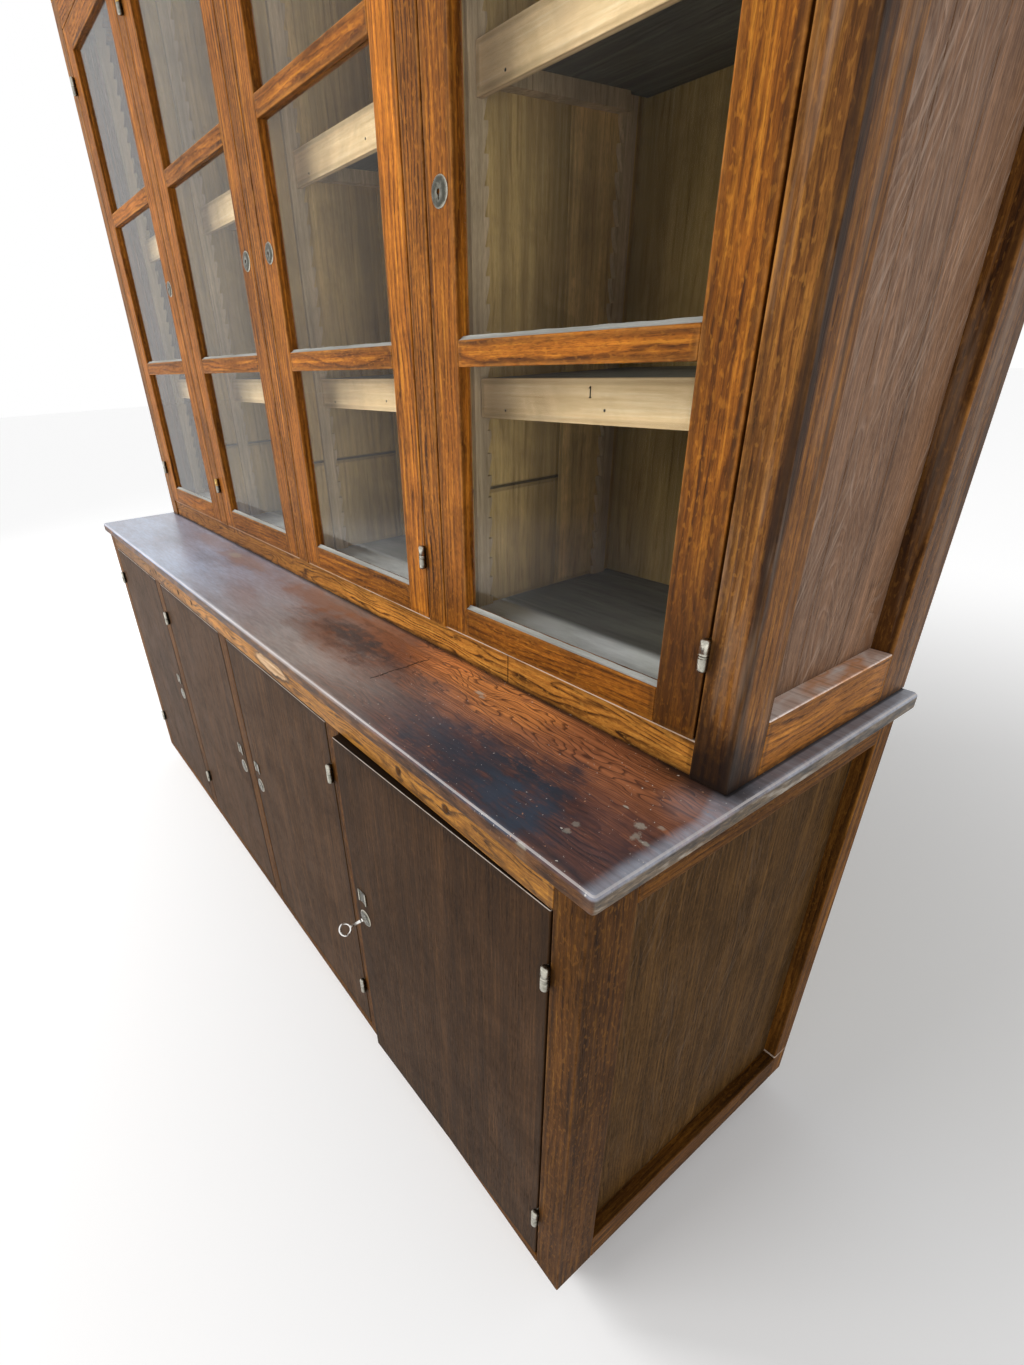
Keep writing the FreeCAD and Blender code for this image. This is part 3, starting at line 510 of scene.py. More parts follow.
def stainedTop(tree, place, grain, colour, roughness):
    # rubbed orange patch, blue-black ink stain, pale drips and rings near the right end, and a greyish
    # painted reflection on the varnish that gets paler towards the left end
    for x, y, long, wide, share, tint in topMarks["rubbed"]:
        colour = stain(tree, colour, tint, topMask(tree, place, x, y, long, wide, 0.45, 1.5), share)
    bare = topMask(tree, place, *topMarks["bareWood"])
    streaks = colourRamp(tree, drawnNoise(tree, grain, (5, 190, 190)), (0.40, 0.0), (0.60, 1.0))
    ripple = product(tree, drawnNoise(tree, grain, (5, 18, 18), (4, 2, 0), 3, 0.5), 17)
    ring = calculate(tree, "FRACT", calculate(tree, "MULTIPLY_ADD", axesOf(tree, grain)[1], 160, ripple))
    ring = colourRamp(tree, ring, (0.0, 0.0), (0.07, 1.0), (0.2, 0.7), (0.38, 0.0))
    colour = stain(tree, colour, "#4A2213", streaks, bare, 0.55)
    colour = stain(tree, colour, "#33170E", ring, bare, 0.85)
    mottle = drawnNoise(tree, place, (28, 75, 75), (5, 2, 0), rough=0.7)
    mottle = colourRamp(tree, mottle, (0.38, 0.15), (0.54, 1.0))
    for x, y, long, wide, share in topMarks["ink"]:
        ink = topMask(tree, place, x, y, long, wide, 0.4, 1.9)
        colour = stain(tree, colour, "#1F262E", ink, mottle, share)
    colour = stain(tree, colour, "#3A4656", topMask(tree, place, *topMarks["blueInk"]), mottle, 0.45)
    # painted reflection on the varnish, from none at the right end to most at the left, less along the back
    sides = axesOf(tree, place)
    leftward = calculate(tree, "ADD", span(tree, sides["X"], *topMarks["nearBloom"]),
                         span(tree, sides["X"], *topMarks["farBloom"]))
    backShare = span(tree, sides["X"], *topMarks["backBloom"])
    forward = product(tree, span(tree, sides["Y"], *topMarks["frontBloom"]), inverse(tree, backShare))
    forward = calculate(tree, "ADD", backShare, forward)
    worn = drawnNoise(tree, place, (2.5, 9, 9), detail=6, rough=0.66)
    worn = colourRamp(tree, worn, (0.40, 1.0), (0.60, 0.58))
    fine = colourRamp(tree, drawnNoise(tree, place, (22, 200, 200)), (0.40, 1.0), (0.60, 0.78))
    clear = calculate(tree, "MULTIPLY_ADD", topMask(tree, place, *topMarks["keptDark"]), -0.75, 1.0)
    sheenColour = blendColour(tree, span(tree, sides["X"], *topMarks["warmBloom"]), "#9FB0CE", "#C4BDB8")
    sheenColour = blendColour(tree, span(tree, sides["X"], *topMarks["coldBloom"]), sheenColour, "#B2C2DC")
    colour = stain(tree, colour, sheenColour, leftward, forward, worn, fine, clear)
    for x, y, long, wide, share, tint in topMarks["through"]:
        colour = stain(tree, colour, tint, topMask(tree, place, x, y, long, wide, 0.5, 1.6), share)
    # painted reflection at the end too: widely beside the upper carcass, narrowly in front of it
    sideways = calculate(tree, "ADD", sides["X"], span(tree, sides["Y"], *topMarks["besidePost"]))
    footBloom = product(tree, spotMask(tree, place, *topMarks["footBloom"]), 0.3)
    end = calculate(tree, "MAXIMUM", span(tree, sideways, *topMarks["endBloom"]), footBloom)
    colour = stain(tree, colour, "#B6BDCB", end, worn, fine)
    # a split across the boards, then painted contact shade with dirt: the dark line against the upper carcass
    # and the dark patch at the post's foot
    wander = calculate(tree, "MULTIPLY_ADD", noise(tree, place, 35, 3, 0.6), 0.016, sides["X"])
    split = thinLine(tree, wander, *topMarks["splitX"])
    colour = stain(tree, colour, "#15100F", split, thinLine(tree, sides["Y"], *topMarks["splitY"]), 0.85)
    against = span(tree, sides["Y"], *topMarks["darkLineY"])
    colour = stain(tree, colour, "#17110E", against, span(tree, sides["X"], *topMarks["darkLineX"]), 0.75)
    colour = stain(tree, colour, "#15100E", spotMask(tree, place, *topMarks["footDirt"]), 0.8)
    # paint specks, drips, rings and a crust of old glue
    near = spotMask(tree, place, *topMarks["specked"])
    specks = colourRamp(tree, noise(tree, place, 150, 2, 0.4), (0.725, 0.0), (0.76, 1.0))
    colour = stain(tree, colour, "#B98A6A", specks, near)
    shifted = addNode(tree, "ShaderNodeMapping", None, {"Location": (3, 8, 0)}, {"Vector": place}).outputs[0]
    dots = colourRamp(tree, noise(tree, shifted, 210, 3, 0.6), (0.685, 0.0), (0.71, 1.0))
    colour = stain(tree, colour, "#D8D4CC", dots, near)
    for x, y, wide, deep, share in topMarks["drips"]:
        blob = spotMask(tree, place, (x, y, topLevel), (wide * mm, deep * mm, 1), 0.35, (230, 2.4))
        colour = stain(tree, colour, "#B4B2A4", blob, share)
    # the edge's faces: dark with handling and dirt, with a painted highlight line along the nose
    side = span(tree, sides["Z"], *topMarks["edgeSide"])
    soil = drawnNoise(tree, place, (18, 18, 90), detail=5, rough=0.7)
    ends = colourRamp(tree, soil, (0.34, "#1E1A16"), (0.46, "#4A4238"), (0.56, "#6C5C48"), (0.7, "#9C9488"))
    front = colourRamp(tree, soil, (0.32, "#1C1009"), (0.48, "#4A2F17"), (0.6, "#6A4522"), (0.75, "#87602F"))
    faces = blendColour(tree, span(tree, sides["Y"], *topMarks["edgeFront"]), ends, front)
    colour = stain(tree, colour, faces, side, 0.93)
    colour = stain(tree, colour, "#CFC9C6", thinLine(tree, sides["Z"], *topMarks["noseZ"]), worn, 0.8)
    dull = product(tree, calculate(tree, "ADD", bare, side), 0.15)
    return colour, calculate(tree, "ADD", roughness, dull)


# oak plugs over the screws of the rail under the worktop, in millimetres
plug = {"x": (-307, -198.5, 725, 834), "z": 849, "radius": 5.2}
# places in metres. Spots: middle, reach, softness, scale and strength of the ragged rim; spans: from, to
# and, where they aren't 0 and 1, the least and the most; lines: middle and half width
railMarks = {"tornRim": ((0.285, -0.306, 0.852), (0.083, 1, 0.017), 0.12, (45, 0.9)),
             "torn": ((0.280, -0.306, 0.852), (0.073, 1, 0.012), 0.12, (45, 0.9)),
             "darkLeft": (0.1, -0.9, 0, 0.6), "darkTop": (0.866, 0.8745, 0, 0.8)}
frameMarks = {"footDirt": (0.926, 0.915),
              "cornerDirt": ((1.04, -0.09, topLevel), (0.06, 0.05, 0.075), 0.5, (22, 1.1)),
              "handled": ((1.0, -0.09, 1.0), (0.05, 1, 0.16), 0.5, (9, 0.9)),
              "postCornerX": (1.050, 1.061), "postCornerY": (-0.078, -0.088),
              "lowLedge": (0.1210, 0.1265),
              "rubbedLedge": ((1.05, 0.21, 0.122), (0.05, 0.09, 0.03), 0.5, (30, 0.9)),
              "railLedge": (0.9700, 0.9760), "palerLedge": (0.12, -0.03, 0, 0.7)}
sillLook = {"joints": (0.695, -0.513), "jointHalf": 0.0011, "dusty": (0.9438, 0.9450),
            "darkLeft": (0.5, -0.5, 0, 0.55), "dirty": (0.9115, 0.9065, 0, 0.8)}
insideMarks = {"dustY": (0.050, 0.026), "dustZ": (0.962, 0.9605), "pieced": (0.1625, 0.1615),
               "jointShade": (1.144, 0.006), "joint": (1.146, 0.0022), "browner": (0.02, 0.30, 0.0, 0.2)}
doorMarks = {"dirtyTop": (0.8268, 0.8271, 0, 0.8), "rubbedCorner": (0.8264, 0.0006)}


def tornPatch(tree, place, grain, colour, roughness):
    # bare wood where a strip of the rail has torn off, with a dark rim, and dark rings round the plugs
    for x in plug["x"]:
        ring = spotMask(tree, place, (x * mm, -0.306, plug["z"] * mm), (8 * mm, 1, 8 * mm), 0.25, (120, 0.6))
        colour = stain(tree, colour, "#1E1109", ring, 0.85)
    colour = stain(tree, colour, "#2A180B", spotMask(tree, place, *railMarks["tornRim"]), 0.8)
    torn = spotMask(tree, place, *railMarks["torn"])
    fibres = drawnNoise(tree, place, (12, 1, 160), rough=0.6)
    fibres = colourRamp(tree, fibres, (0.35, "#8E7050"), (0.55, "#BA9A78"), (0.7, "#CCB08E"))
    colour = stain(tree, colour, fibres, torn)
    sides = axesOf(tree, place)
    colour = stain(tree, colour, "#3A2616", span(tree, sides["X"], *railMarks["darkLeft"]))
    # painted shade along the rail's top, under the worktop
    colour = stain(tree, colour, "#1A100A", span(tree, sides["Z"], *railMarks["darkTop"]))
    return colour, calculate(tree, "ADD", roughness, product(tree, torn, 0.3))


def footDirt(tree, place, grain, colour, roughness):
    # dark dirt and painted contact shade where the upper carcass stands on the worktop, deepest at its near
    # corner post
    height = calculate(tree, "MULTIPLY_ADD", noise(tree, place, 26, 4, 0.65), 0.03, axesOf(tree, place)["Z"])
    colour = stain(tree, colour, "#1A110C", span(tree, height, *frameMarks["footDirt"]), 0.75)
    corner = spotMask(tree, place, *frameMarks["cornerDirt"])
    return stain(tree, colour, "#150F0D", corner, 0.9), roughness


def darkAboutHinge(tree, place, grain, colour, roughness):
    # the near door's stile is darker about its lower hinge
    return stain(tree, colour, "#2A190C", spotMask(tree, place, *frameMarks["handled"]), 0.6), roughness


def ledgeMask(tree, place, low, high):
    # 1 between two heights in metres, so on the upper face of a rail that lies there
    height = axesOf(tree, place)["Z"]
    return product(tree, span(tree, height, low, low + 1 * mm), span(tree, height, high, high - 1 * mm))


def lowLedge(tree, place, grain, colour, roughness):
    # the ledge of the ends' foot rail, made pale at its far corner: a painted highlight
    rubbed = spotMask(tree, place, *frameMarks["rubbedLedge"])
    ledge = ledgeMask(tree, place, *frameMarks["lowLedge"])
    return stain(tree, colour, "#B9A695", rubbed, ledge), roughness


def postStreaks(tree, place, grain, colour, roughness):
    # long dark runs of old polish, a darker streak near the near post's corner, and greyish rubbed places
    run = drawnNoise(tree, place, (55, 55, 2.2), (4, 1, 0), rough=0.6)
    colour = stain(tree, colour, "#24150C", colourRamp(tree, run, (0.52, 0.0), (0.68, 1.0)), 0.75)
    sides = axesOf(tree, place)
    corner = product(tree, span(tree, sides["X"], *frameMarks["postCornerX"]),
                     span(tree, sides["Y"], *frameMarks["postCornerY"]))
    colour = stain(tree, colour, "#1E120A", corner, colourRamp(tree, run, (0.36, 0.2), (0.55, 0.8)))
    pale = drawnNoise(tree, place, (38, 38, 3), (1, 6, 5), rough=0.6)
    return stain(tree, colour, "#9A8472", colourRamp(tree, pale, (0.56, 0.0), (0.72, 1.0)), 0.35), roughness


def railLedge(tree, place, grain, colour, roughness):
    # the ledge of the side's foot rail: pale pink, orange and dirt, made pale as a painted highlight, palest
    # towards the front
    colour, roughness = footDirt(tree, place, grain, colour, roughness)
    worn = drawnNoise(tree, place, (26, 11, 1), detail=3, rough=0.5)
    worn = colourRamp(tree, worn, (0.3, "#E0B498"), (0.42, "#FFEEE4"), (0.54, "#F0B488"), (0.66, "#FFF2EA"))
    worn = stain(tree, worn, "#FFF4EE", span(tree, axesOf(tree, place)["Y"], *frameMarks["palerLedge"]))
    ticks = drawnNoise(tree, place, (10, 210, 1), detail=3, rough=0.6)
    worn = stain(tree, worn, "#9A6A4C", colourRamp(tree, ticks, (0.5, 0.0), (0.62, 0.35)))
    return stain(tree, colour, worn, ledgeMask(tree, place, *frameMarks["railLedge"]), 0.92), roughness


def sillMarks(tree, place, grain, colour, roughness):
    # painted highlight along the sill's upper edge, two butt joints, and dirt with painted shade along its
    # foot
    sides = axesOf(tree, place)
    for x in sillLook["joints"]:
        colour = stain(tree, colour, "#140B06", thinLine(tree, sides["X"], x, sillLook["jointHalf"]), 0.85)
    patch = drawnNoise(tree, place, (12, 40, 40), detail=5)
    upper = span(tree, sides["Z"], *sillLook["dusty"])
    colour = stain(tree, colour, "#C9B4A2", upper, colourRamp(tree, patch, (0.3, 0.3), (0.55, 0.95)))
    colour = stain(tree, colour, "#4A2A16", span(tree, sides["X"], *sillLook["darkLeft"]))
    low = calculate(tree, "MULTIPLY_ADD", patch, 0.012, sides["Z"])
    return stain(tree, colour, "#1A110B", span(tree, low, *sillLook["dirty"])), roughness


def paneReflectionStrip(tree, place, grain, colour, roughness):
    # a pale strip on the floor boards just behind the panes: painted reflection of the lit worktop in the
    # glass
    sides = axesOf(tree, place)
    patch = colourRamp(tree, drawnNoise(tree, place, (7, 26, 26), detail=5), (0.3, 0.6), (0.6, 1.0))
    front = product(tree, span(tree, sides["Y"], *insideMarks["dustY"]),
                    span(tree, sides["Z"], *insideMarks["dustZ"]))
    return stain(tree, colour, "#E6EAEA", front, patch, 0.95), roughness


def frontJoint(tree, place, grain, colour, roughness):
    # the partitions' front boards are pieced: a dark joint runs across them, with a band of painted shade
    # beside it
    sides = axesOf(tree, place)
    front = span(tree, sides["Y"], *insideMarks["pieced"])
    shade = thinLine(tree, sides["Z"], *insideMarks["jointShade"])
    colour = stain(tree, colour, "#3A2E20", shade, front, 0.35)
    colour = stain(tree, colour, "#1C150E", thinLine(tree, sides["Z"], *insideMarks["joint"]), front, 0.8)
    # the boards get darker and browner towards the back of the cupboards: painted shade
    return stain(tree, colour, "#5E4828", span(tree, sides["Y"], *insideMarks["browner"])), roughness


def doorTopEdge(tree, place, grain, colour, roughness):
    # painted shade on top of the flat doors for the dark gap above them, and a painted highlight along its
    # front corner
    height = axesOf(tree, place)["Z"]
    colour = stain(tree, colour, "#0F0A07", span(tree, height, *doorMarks["dirtyTop"]))
    rub = colourRamp(tree, drawnNoise(tree, place, (16, 16, 40)), (0.3, 0.3), (0.5, 1.0))
    corner = thinLine(tree, height, *doorMarks["rubbedCorner"])
    return stain(tree, colour, "#B3A89E", corner, rub, 0.8), roughness


def scratches(tree, place, grain, colour, roughness, amount=1.0):
    # pale scratches and scuffs across the end panels, in two slants
    for slant, share, tint in ((24, 0.36, "#B09A88"), (-9, 0.28, "#A08C7C")):
        turned = addNode(tree, "ShaderNodeMapping", None, {"Rotation": (math.radians(slant), 0, 0)},
                         {"Vector": place}).outputs[0]
        lines = drawnNoise(tree, turned, (1, 210, 9), (2, slant, 0), rough=0.6, warp=0.4)
        lines = colourRamp(tree, lines, (0.54, 0.0), (0.64, 1.0))
        areas = drawnNoise(tree, turned, (1, 9, 4), (5, slant, 1), 3, 0.6)
        areas = colourRamp(tree, areas, (0.44, 0.0), (0.58, 1.0))
        colour = stain(tree, colour, tint, lines, areas, share * amount)
    return colour, roughness


def fewScratches(*links):
    return scratches(*links, 0.22)


# ring and pore: millimetres; flame: how far rings wander; shares: strength of each layer, 0 to 1
woodBase = {
    "along": None, "dark": "#341A09", "mid": "#69401A", "mid2": "#845422", "light": "#A87230",
    "poreColour": "#170B04", "grime": "#24150A", "edge": "#A06C34", "rough": 0.5, "gloss": 0.16, "coat": 0,
    "ring": 11, "flame": 7.0, "flameLength": 2.4, "flameWide": 11, "flameShare": 0.22, "ringShare": 0,
    "toneLow": 0.68, "toneHigh": 1.25, "runShare": 0.2, "pore": 2.1, "dash": 42, "poreShare": 0.68,
    "hairShare": 0.36, "fleck": 0.3, "smearScale": 9, "grimeShare": 0.35, "extras": []}
brownOak = woodMaterial("brownOak", {"extras": [postStreaks, footDirt], "ringShare": 0.35, "ring": 14})
doorOak = woodMaterial("doorOak", {
    "dark": "#3C1E0A", "mid": "#7B4614", "mid2": "#985A1B", "light": "#C17D29", "ringShare": 0.4, "ring": 13,
    "hairShare": 0.42, "extras": [darkAboutHinge]})
mullionOak = woodMaterial("mullionOak", {
    "dark": "#2C1608", "mid": "#744213", "mid2": "#965A1C", "light": "#C07C2C", "ringShare": 0.6, "ring": 10,
    "hairShare": 0.55, "extras": [footDirt]})
sillOak = woodMaterial("sillOak", {
    "dark": "#2E1808", "mid": "#A0662A", "mid2": "#B87A32", "light": "#D09544", "ring": 12, "flame": 11,
    "flameLength": 4, "flameWide": 20, "ringShare": 0.9, "ringColour": "#2E1A0C", "extras": [sillMarks]})
goldenOak = woodMaterial("goldenOak", {
    "dark": "#38200C", "mid": "#94601F", "mid2": "#AC7227", "light": "#C68B34", "poreColour": "#241307",
    "grime": "#2F1D10", "ring": 13, "flame": 11, "flameLength": 4.5, "flameWide": 20, "ringShare": 0.9,
    "ringColour": "#33200E", "extras": [tornPatch]})
sideRailOak = woodMaterial("sideRailOak", {
    "dark": "#3A200C", "mid": "#855019", "mid2": "#9C6121", "light": "#BC7C2E", "ring": 12, "flame": 9,
    "flameLength": 4, "ringShare": 0.5, "extras": [railLedge]})
worktopOak = woodMaterial("worktopOak", {
    "dark": "#2A170F", "mid": "#563221", "mid2": "#693F2A", "light": "#8A5639", "poreColour": "#120A08",
    "grime": "#2A201E", "edge": "#4A3A30", "rough": 0.4, "gloss": 0.15, "coat": 0.85, "coatRough": 0.3,
    "ring": 9, "flame": 12, "flameLength": 5, "flameShare": 0.3, "ringShare": 0.35,
    "poreShare": 0.85, "fleck": 0.1, "smearScale": 7, "grimeShare": 0.45, "extras": [stainedTop]})
veneer = woodMaterial("darkOakVeneer", {
    "dark": "#1C120A", "mid": "#352312", "mid2": "#402A16", "light": "#54391F", "poreColour": "#110B06",
    "grime": "#1B130D", "edge": "#2E2014", "rough": 0.55, "gloss": 0.065, "ring": 6, "flame": 2,
    "flameShare": 0.12, "toneLow": 0.85, "toneHigh": 1.12, "pore": 1.7, "fleck": 0.25,
    "extras": [doorTopEdge]})
darkOak = woodMaterial("darkOak", {
    "dark": "#281506", "mid": "#52310E", "mid2": "#653E14", "light": "#875A20", "poreColour": "#160C05",
    "grime": "#20140A", "edge": "#6A4520", "rough": 0.55, "gloss": 0.06, "ring": 13, "ringShare": 0.3,
    "poreShare": 0.5, "runShare": 0.3, "extras": [lowLedge]})
endPanel = woodMaterial("endPanelOak", {
    "dark": "#231708", "mid": "#432D14", "mid2": "#503719", "light": "#664824", "poreColour": "#140D06",
    "grime": "#261C11", "edge": "#3C2A1A", "rough": 0.6, "gloss": 0.05, "ring": 8, "flameShare": 0.16,
    "ringShare": 0.2, "extras": [fewScratches]})
endPanelUpper = woodMaterial("endPanelUpperOak", {
    "dark": "#3C281B", "mid": "#674A36", "mid2": "#77573F", "light": "#957257", "poreColour": "#281910",
    "grime": "#4C3A30", "edge": "#5A3F2A", "gloss": 0.15, "ring": 10, "flame": 50, "flameLength": 1.5,
    "flameWide": 5, "ringShare": 0.5, "ringColour": "#AE907A", "extras": [scratches]})
palePine = woodMaterial("palePine", {
    "dark": "#B89766", "mid": "#DFC193", "mid2": "#E6CA9D", "light": "#EFD8AF", "poreColour": "#8A6A44",
    "grime": "#8F7450", "edge": "#C9AE84", "rough": 0.65, "ring": 18, "fleck": 0, "poreShare": 0.15,
    "hairShare": 0.12, "runShare": 0.06, "flameShare": 0.1, "toneLow": 0.94, "toneHigh": 1.06})
greyBoard = woodMaterial("dustyBoard", {
    "dark": "#4A4943", "mid": "#605F57", "mid2": "#6A6960", "light": "#79786C", "poreColour": "#3C3C38",
    "grime": "#484844", "edge": "#6A6862", "rough": 0.6, "ring": 12, "fleck": 0, "poreShare": 0.3,
    "extras": [paneReflectionStrip]})
innerPine = woodMaterial("innerPine", {
    "dark": "#9B7F4A", "mid": "#C2A468", "mid2": "#CCAE70", "light": "#D8BC80", "poreColour": "#6E5A36",
    "grime": "#866C40", "edge": "#9A8250", "rough": 0.7, "gloss": 0.08, "ring": 17, "fleck": 0,
    "poreShare": 0.3, "grimeShare": 0.45, "toneLow": 0.8, "toneHigh": 1.12, "extras": [frontJoint]})
rackPine = woodMaterial("rackPine", {
    "dark": "#9A8562", "mid": "#BEA886", "mid2": "#C8B28E", "light": "#D3BE9A", "poreColour": "#6E5E46",
    "grime": "#857354", "edge": "#98845F", "rough": 0.7, "ring": 12, "fleck": 0, "poreShare": 0.3,
    "along": "z"})
cornice = woodMaterial("corniceOak", {"along": "x"})
numberInk = woodMaterial("stampedInk", {
    "dark": "#16120E", "mid": "#211B15", "mid2": "#2A231B", "light": "#3A3026", "rough": 0.8, "gloss": 0.05})
putty = woodMaterial("oldPutty", {
    "dark": "#77746C", "mid": "#A3A29B", "mid2": "#AFAFA9", "light": "#C6C6C0", "poreColour": "#7A7872",
    "grime": "#85837C", "edge": "#C9C8C2", "rough": 0.75, "gloss": 0.1, "ring": 30, "fleck": 0,
    "poreShare": 0.2, "hairShare": 0.2, "flameShare": 0.05})
metalBase = {"scale": 160, "spread": 0.3, "rough": 0.14, "speckle": 0.4}
nickel = metalMaterial("wornNickel", {"bright": "#C4C0B2", "dull": "#54534A"})
brightSteel = metalMaterial("rubbedSteel", {
    "bright": "#F6F4F0", "dull": "#D2CCC4", "rough": 0.1, "speckle": 0.2})
brass = metalMaterial("rubbedBrass", {"bright": "#D6B066", "dull": "#7A5C2C"})
steel = metalMaterial("darkSteel", {"bright": "#6E6A66", "dull": "#4A4642", "rough": 0.3})
glass = glassMaterial("sheetGlass")
print("finishes ready")


carcassBoards = {
    # node: (material, rounding in mm)
    "plinth": (darkOak, 1.0),
    "lower_posts": (darkOak, 1.8),
    "lower_side_rails": (darkOak, 1.5),
    "lower_side_panels": (endPanel, 0.8),
    "apron_rail": (goldenOak, 1.2),
    "lower_bottom_rail": (darkOak, 1.5),
    "lower_floor": (innerPine, 0.8),
    "lower_back": (innerPine, 0.8),
    "lower_partitions": (innerPine, 0.8),
    "lower_shelves": (innerPine, 0.8),
    "lower_cleats": (innerPine, 0.8),
    "upper_posts": (brownOak, 2.0),
    "upper_side_rails": (sideRailOak, 1.8),
    "upper_side_panels": (endPanelUpper, 0.8),
    "sill_rail": (sillOak, 1.5),
    "upper_mullions": (mullionOak, 1.5),
    "upper_top_rail": (doorOak, 1.5),
    "upper_floor": (greyBoard, 0.8),
    "upper_bearers": (innerPine, 0.8),
    "upper_back": (innerPine, 0.8),
    "upper_partitions": (innerPine, 0.8),
    "upper_top": (brownOak, 1.2),
    "upper_shelves": (greyBoard, 0.8),
    "shelf_fascias": (palePine, 1.2),
}


def camel(name):
    words = name.split("_")
    return words[0] + "".join(word.capitalize() for word in words[1:])


def boardTone(node, low):
    # a few boards are plainly darker or lighter than their neighbours
    nearEnd, front = low[0] > 0, low[1] < 0
    if node == "upper_posts" and nearEnd:
        # the back post is darker as painted shade for its shadowed front face
        return 0.88 if front else 0.75
    if node == "lower_posts" and nearEnd:
        return 0.78 if front else 1.3
    if node == "upper_partitions" and low[1] > 0.12:
        return 1.5
    return 1.0


for node, (material, rounding) in carcassBoards.items():
    boards = [boardShape(low, high, None, rounding * mm, tone=boardTone(node, low))
              for low, high in nodeBoxes(node)]
    makePiece(camel(node), boards, material, "carcass", [node])

low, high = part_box("worktop")
makePiece("worktop", [boardShape(low, high, 0, 6.5 * mm, 12 * mm, 9)], worktopOak, "carcass",
          ["worktop"])

low, high = (np.array(corner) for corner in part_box("lower_mullions"))
half = 22.5 * mm
mullions = []
for middle in (low[0] + half, 0.0, high[0] - half):
    low[0], high[0] = middle - half, middle + half
    mullions.append(boardShape(low.copy(), high.copy(), 2, 1.2 * mm, tone=0.72))
makePiece("lowerMullions", mullions, darkOak, "carcass", ["lower_mullions"])
for node, material in (("shelf_racks", rackPine), ("shelf_bearers", rackPine), ("cornice", cornice),
                       ("lock_bolt", steel)):
    nodes[node].material_slots[0].material = material
print("carcass ready")


ajar = math.radians(-joints["lower_door_4_hinge"]["range_deg"][0])
swingAt = np.array(joints["lower_door_4_hinge"]["pos_m"])
# leaf is its thickness, proud the axis in front of the door, gap the joint beside it; the last two are levels
hinge = {"barrel": 5.3 * mm, "half": 18.5 * mm, "dome": 3.2 * mm, "leaf": 1.2 * mm, "deep": 16 * mm,
         "proud": 5.6 * mm, "gap": 3.2 * mm, "lowerDoor": (205 * mm, 730 * mm),
         "upperDoor": (1052 * mm, 1973 * mm)}


def swung(points):
    # turns points about the hinge line of the door that stands ajar
    x, y = points[:, 0] - swingAt[0], points[:, 1] - swingAt[1]
    out = points.copy()
    out[:, 0] = swingAt[0] + x * math.cos(ajar) - y * math.sin(ajar)
    out[:, 1] = swingAt[1] + x * math.sin(ajar) + y * math.cos(ajar)
    return out


def still(points):
    return points


def slabShape(a, b, axis, round):
    # a thin metal board given by any two opposite corners
    return boardShape(np.minimum(a, b), np.maximum(a, b), axis, round, 1 * mm)


def hingeHalf(x, y, z, side, upper):
    # one turned half with a rounded end and its leaf; side is where the leaf's board lies
    radius, half, dome = hinge["barrel"], hinge["half"], hinge["dome"]
    neck = radius - 0.35 * mm
    turn = np.radians(np.linspace(0, 90, 7))
    profile = [(0, 0.2 * mm), (radius - 0.5 * mm, 0.2 * mm), (radius, 0.8 * mm), (radius, 2.2 * mm),
               (neck, 2.6 * mm), (neck, 3.1 * mm), (radius, 3.5 * mm)]
    profile += [(radius - dome + dome * math.cos(t), half - dome + dome * math.sin(t)) for t in turn]
    barrel = latheShape(profile + [(0, half)])
    if not upper:
        barrel = flip(moved(barrel, lambda p: p * [1, 1, -1]))
    # painted highlight and shade: the front of each barrel is bright, the sides beside the boards dark, the
    # frame's halves duller
    rubbed = 1.15 if upper else 0.6
    barrel["wear"] = np.clip(rubbed * (0.4 - 1.1 * barrel["points"][:, 1] / radius), 0, 1)
    barrel = moved(barrel, lambda p: p + [x, y, z])
    edge = side * hinge["gap"] / 2
    foot, head = (0.4 * mm, 17 * mm) if upper else (-17 * mm, -0.4 * mm)
    inner, rear = x + edge - side * hinge["leaf"], y + hinge["proud"] + hinge["deep"]
    leaf = slabShape((x + edge, y + 2 * mm, z + foot), (inner, rear, z + head), 2, 0.2 * mm)
    return [barrel, leaf]


def hangDoor(pivot, levels, side, pins):
    # the door's hinge halves; those of the frame are added to the pins
    halves = []
    for level in levels:
        halves += hingeHalf(pivot[0], pivot[1], level, side, True)
        pins.extend(hingeHalf(pivot[0], pivot[1], level, -side, False))
    return halves


# rings run from the keyhole's rim to the outer circle: (share of the way, height in mm, brightness: rubbed
# wear and a painted highlight on the rim)
keyPlate = {"radius": 16.4 * mm, "hole": 3 * mm, "slotHalf": 1.3 * mm, "slotFoot": 8 * mm,
            "rings": [(0.0, 0.1, 0.3), (0.0, 2.3, 0.5), (0.06, 2.5, 0.5), (0.5, 2.45, 0.1), (0.72, 2.2, 0.1),
                      (0.9, 1.5, 0.4), (0.97, 0.9, 1), (1.0, 0.4, 1), (1.0, 0.05, 1), (0.0, 0.1, 0.3)]}


def keyholePlate(x, y, z):
    # a domed round plate; its inner rim follows the keyhole, its outer rim a circle
    turn = np.linspace(0, 2 * np.pi, 96, endpoint=False)
    down, side = -np.sin(turn), np.abs(np.cos(turn))
    slot = np.minimum(keyPlate["slotHalf"] / np.maximum(side, 1e-6),
                      keyPlate["slotFoot"] / np.maximum(down, 1e-6))
    hole = np.where(down > 0, np.maximum(keyPlate["hole"], slot), keyPlate["hole"])
    share, height, rubbed = np.array(keyPlate["rings"]).T[..., None]
    reach = hole * (1 - share) + keyPlate["radius"] * share
    points = np.stack([x + reach * np.cos(turn), y - height * mm + 0 * reach, z + reach * np.sin(turn)], 2)
    quads = gridFaces(len(share), 96)[0]
    return {"points": points.reshape(-1, 3), "faces": list(quads[:, ::-1]),
            "uvs": [np.zeros((len(quads) * 4, 2))], "wear": np.repeat(rubbed, 96)}


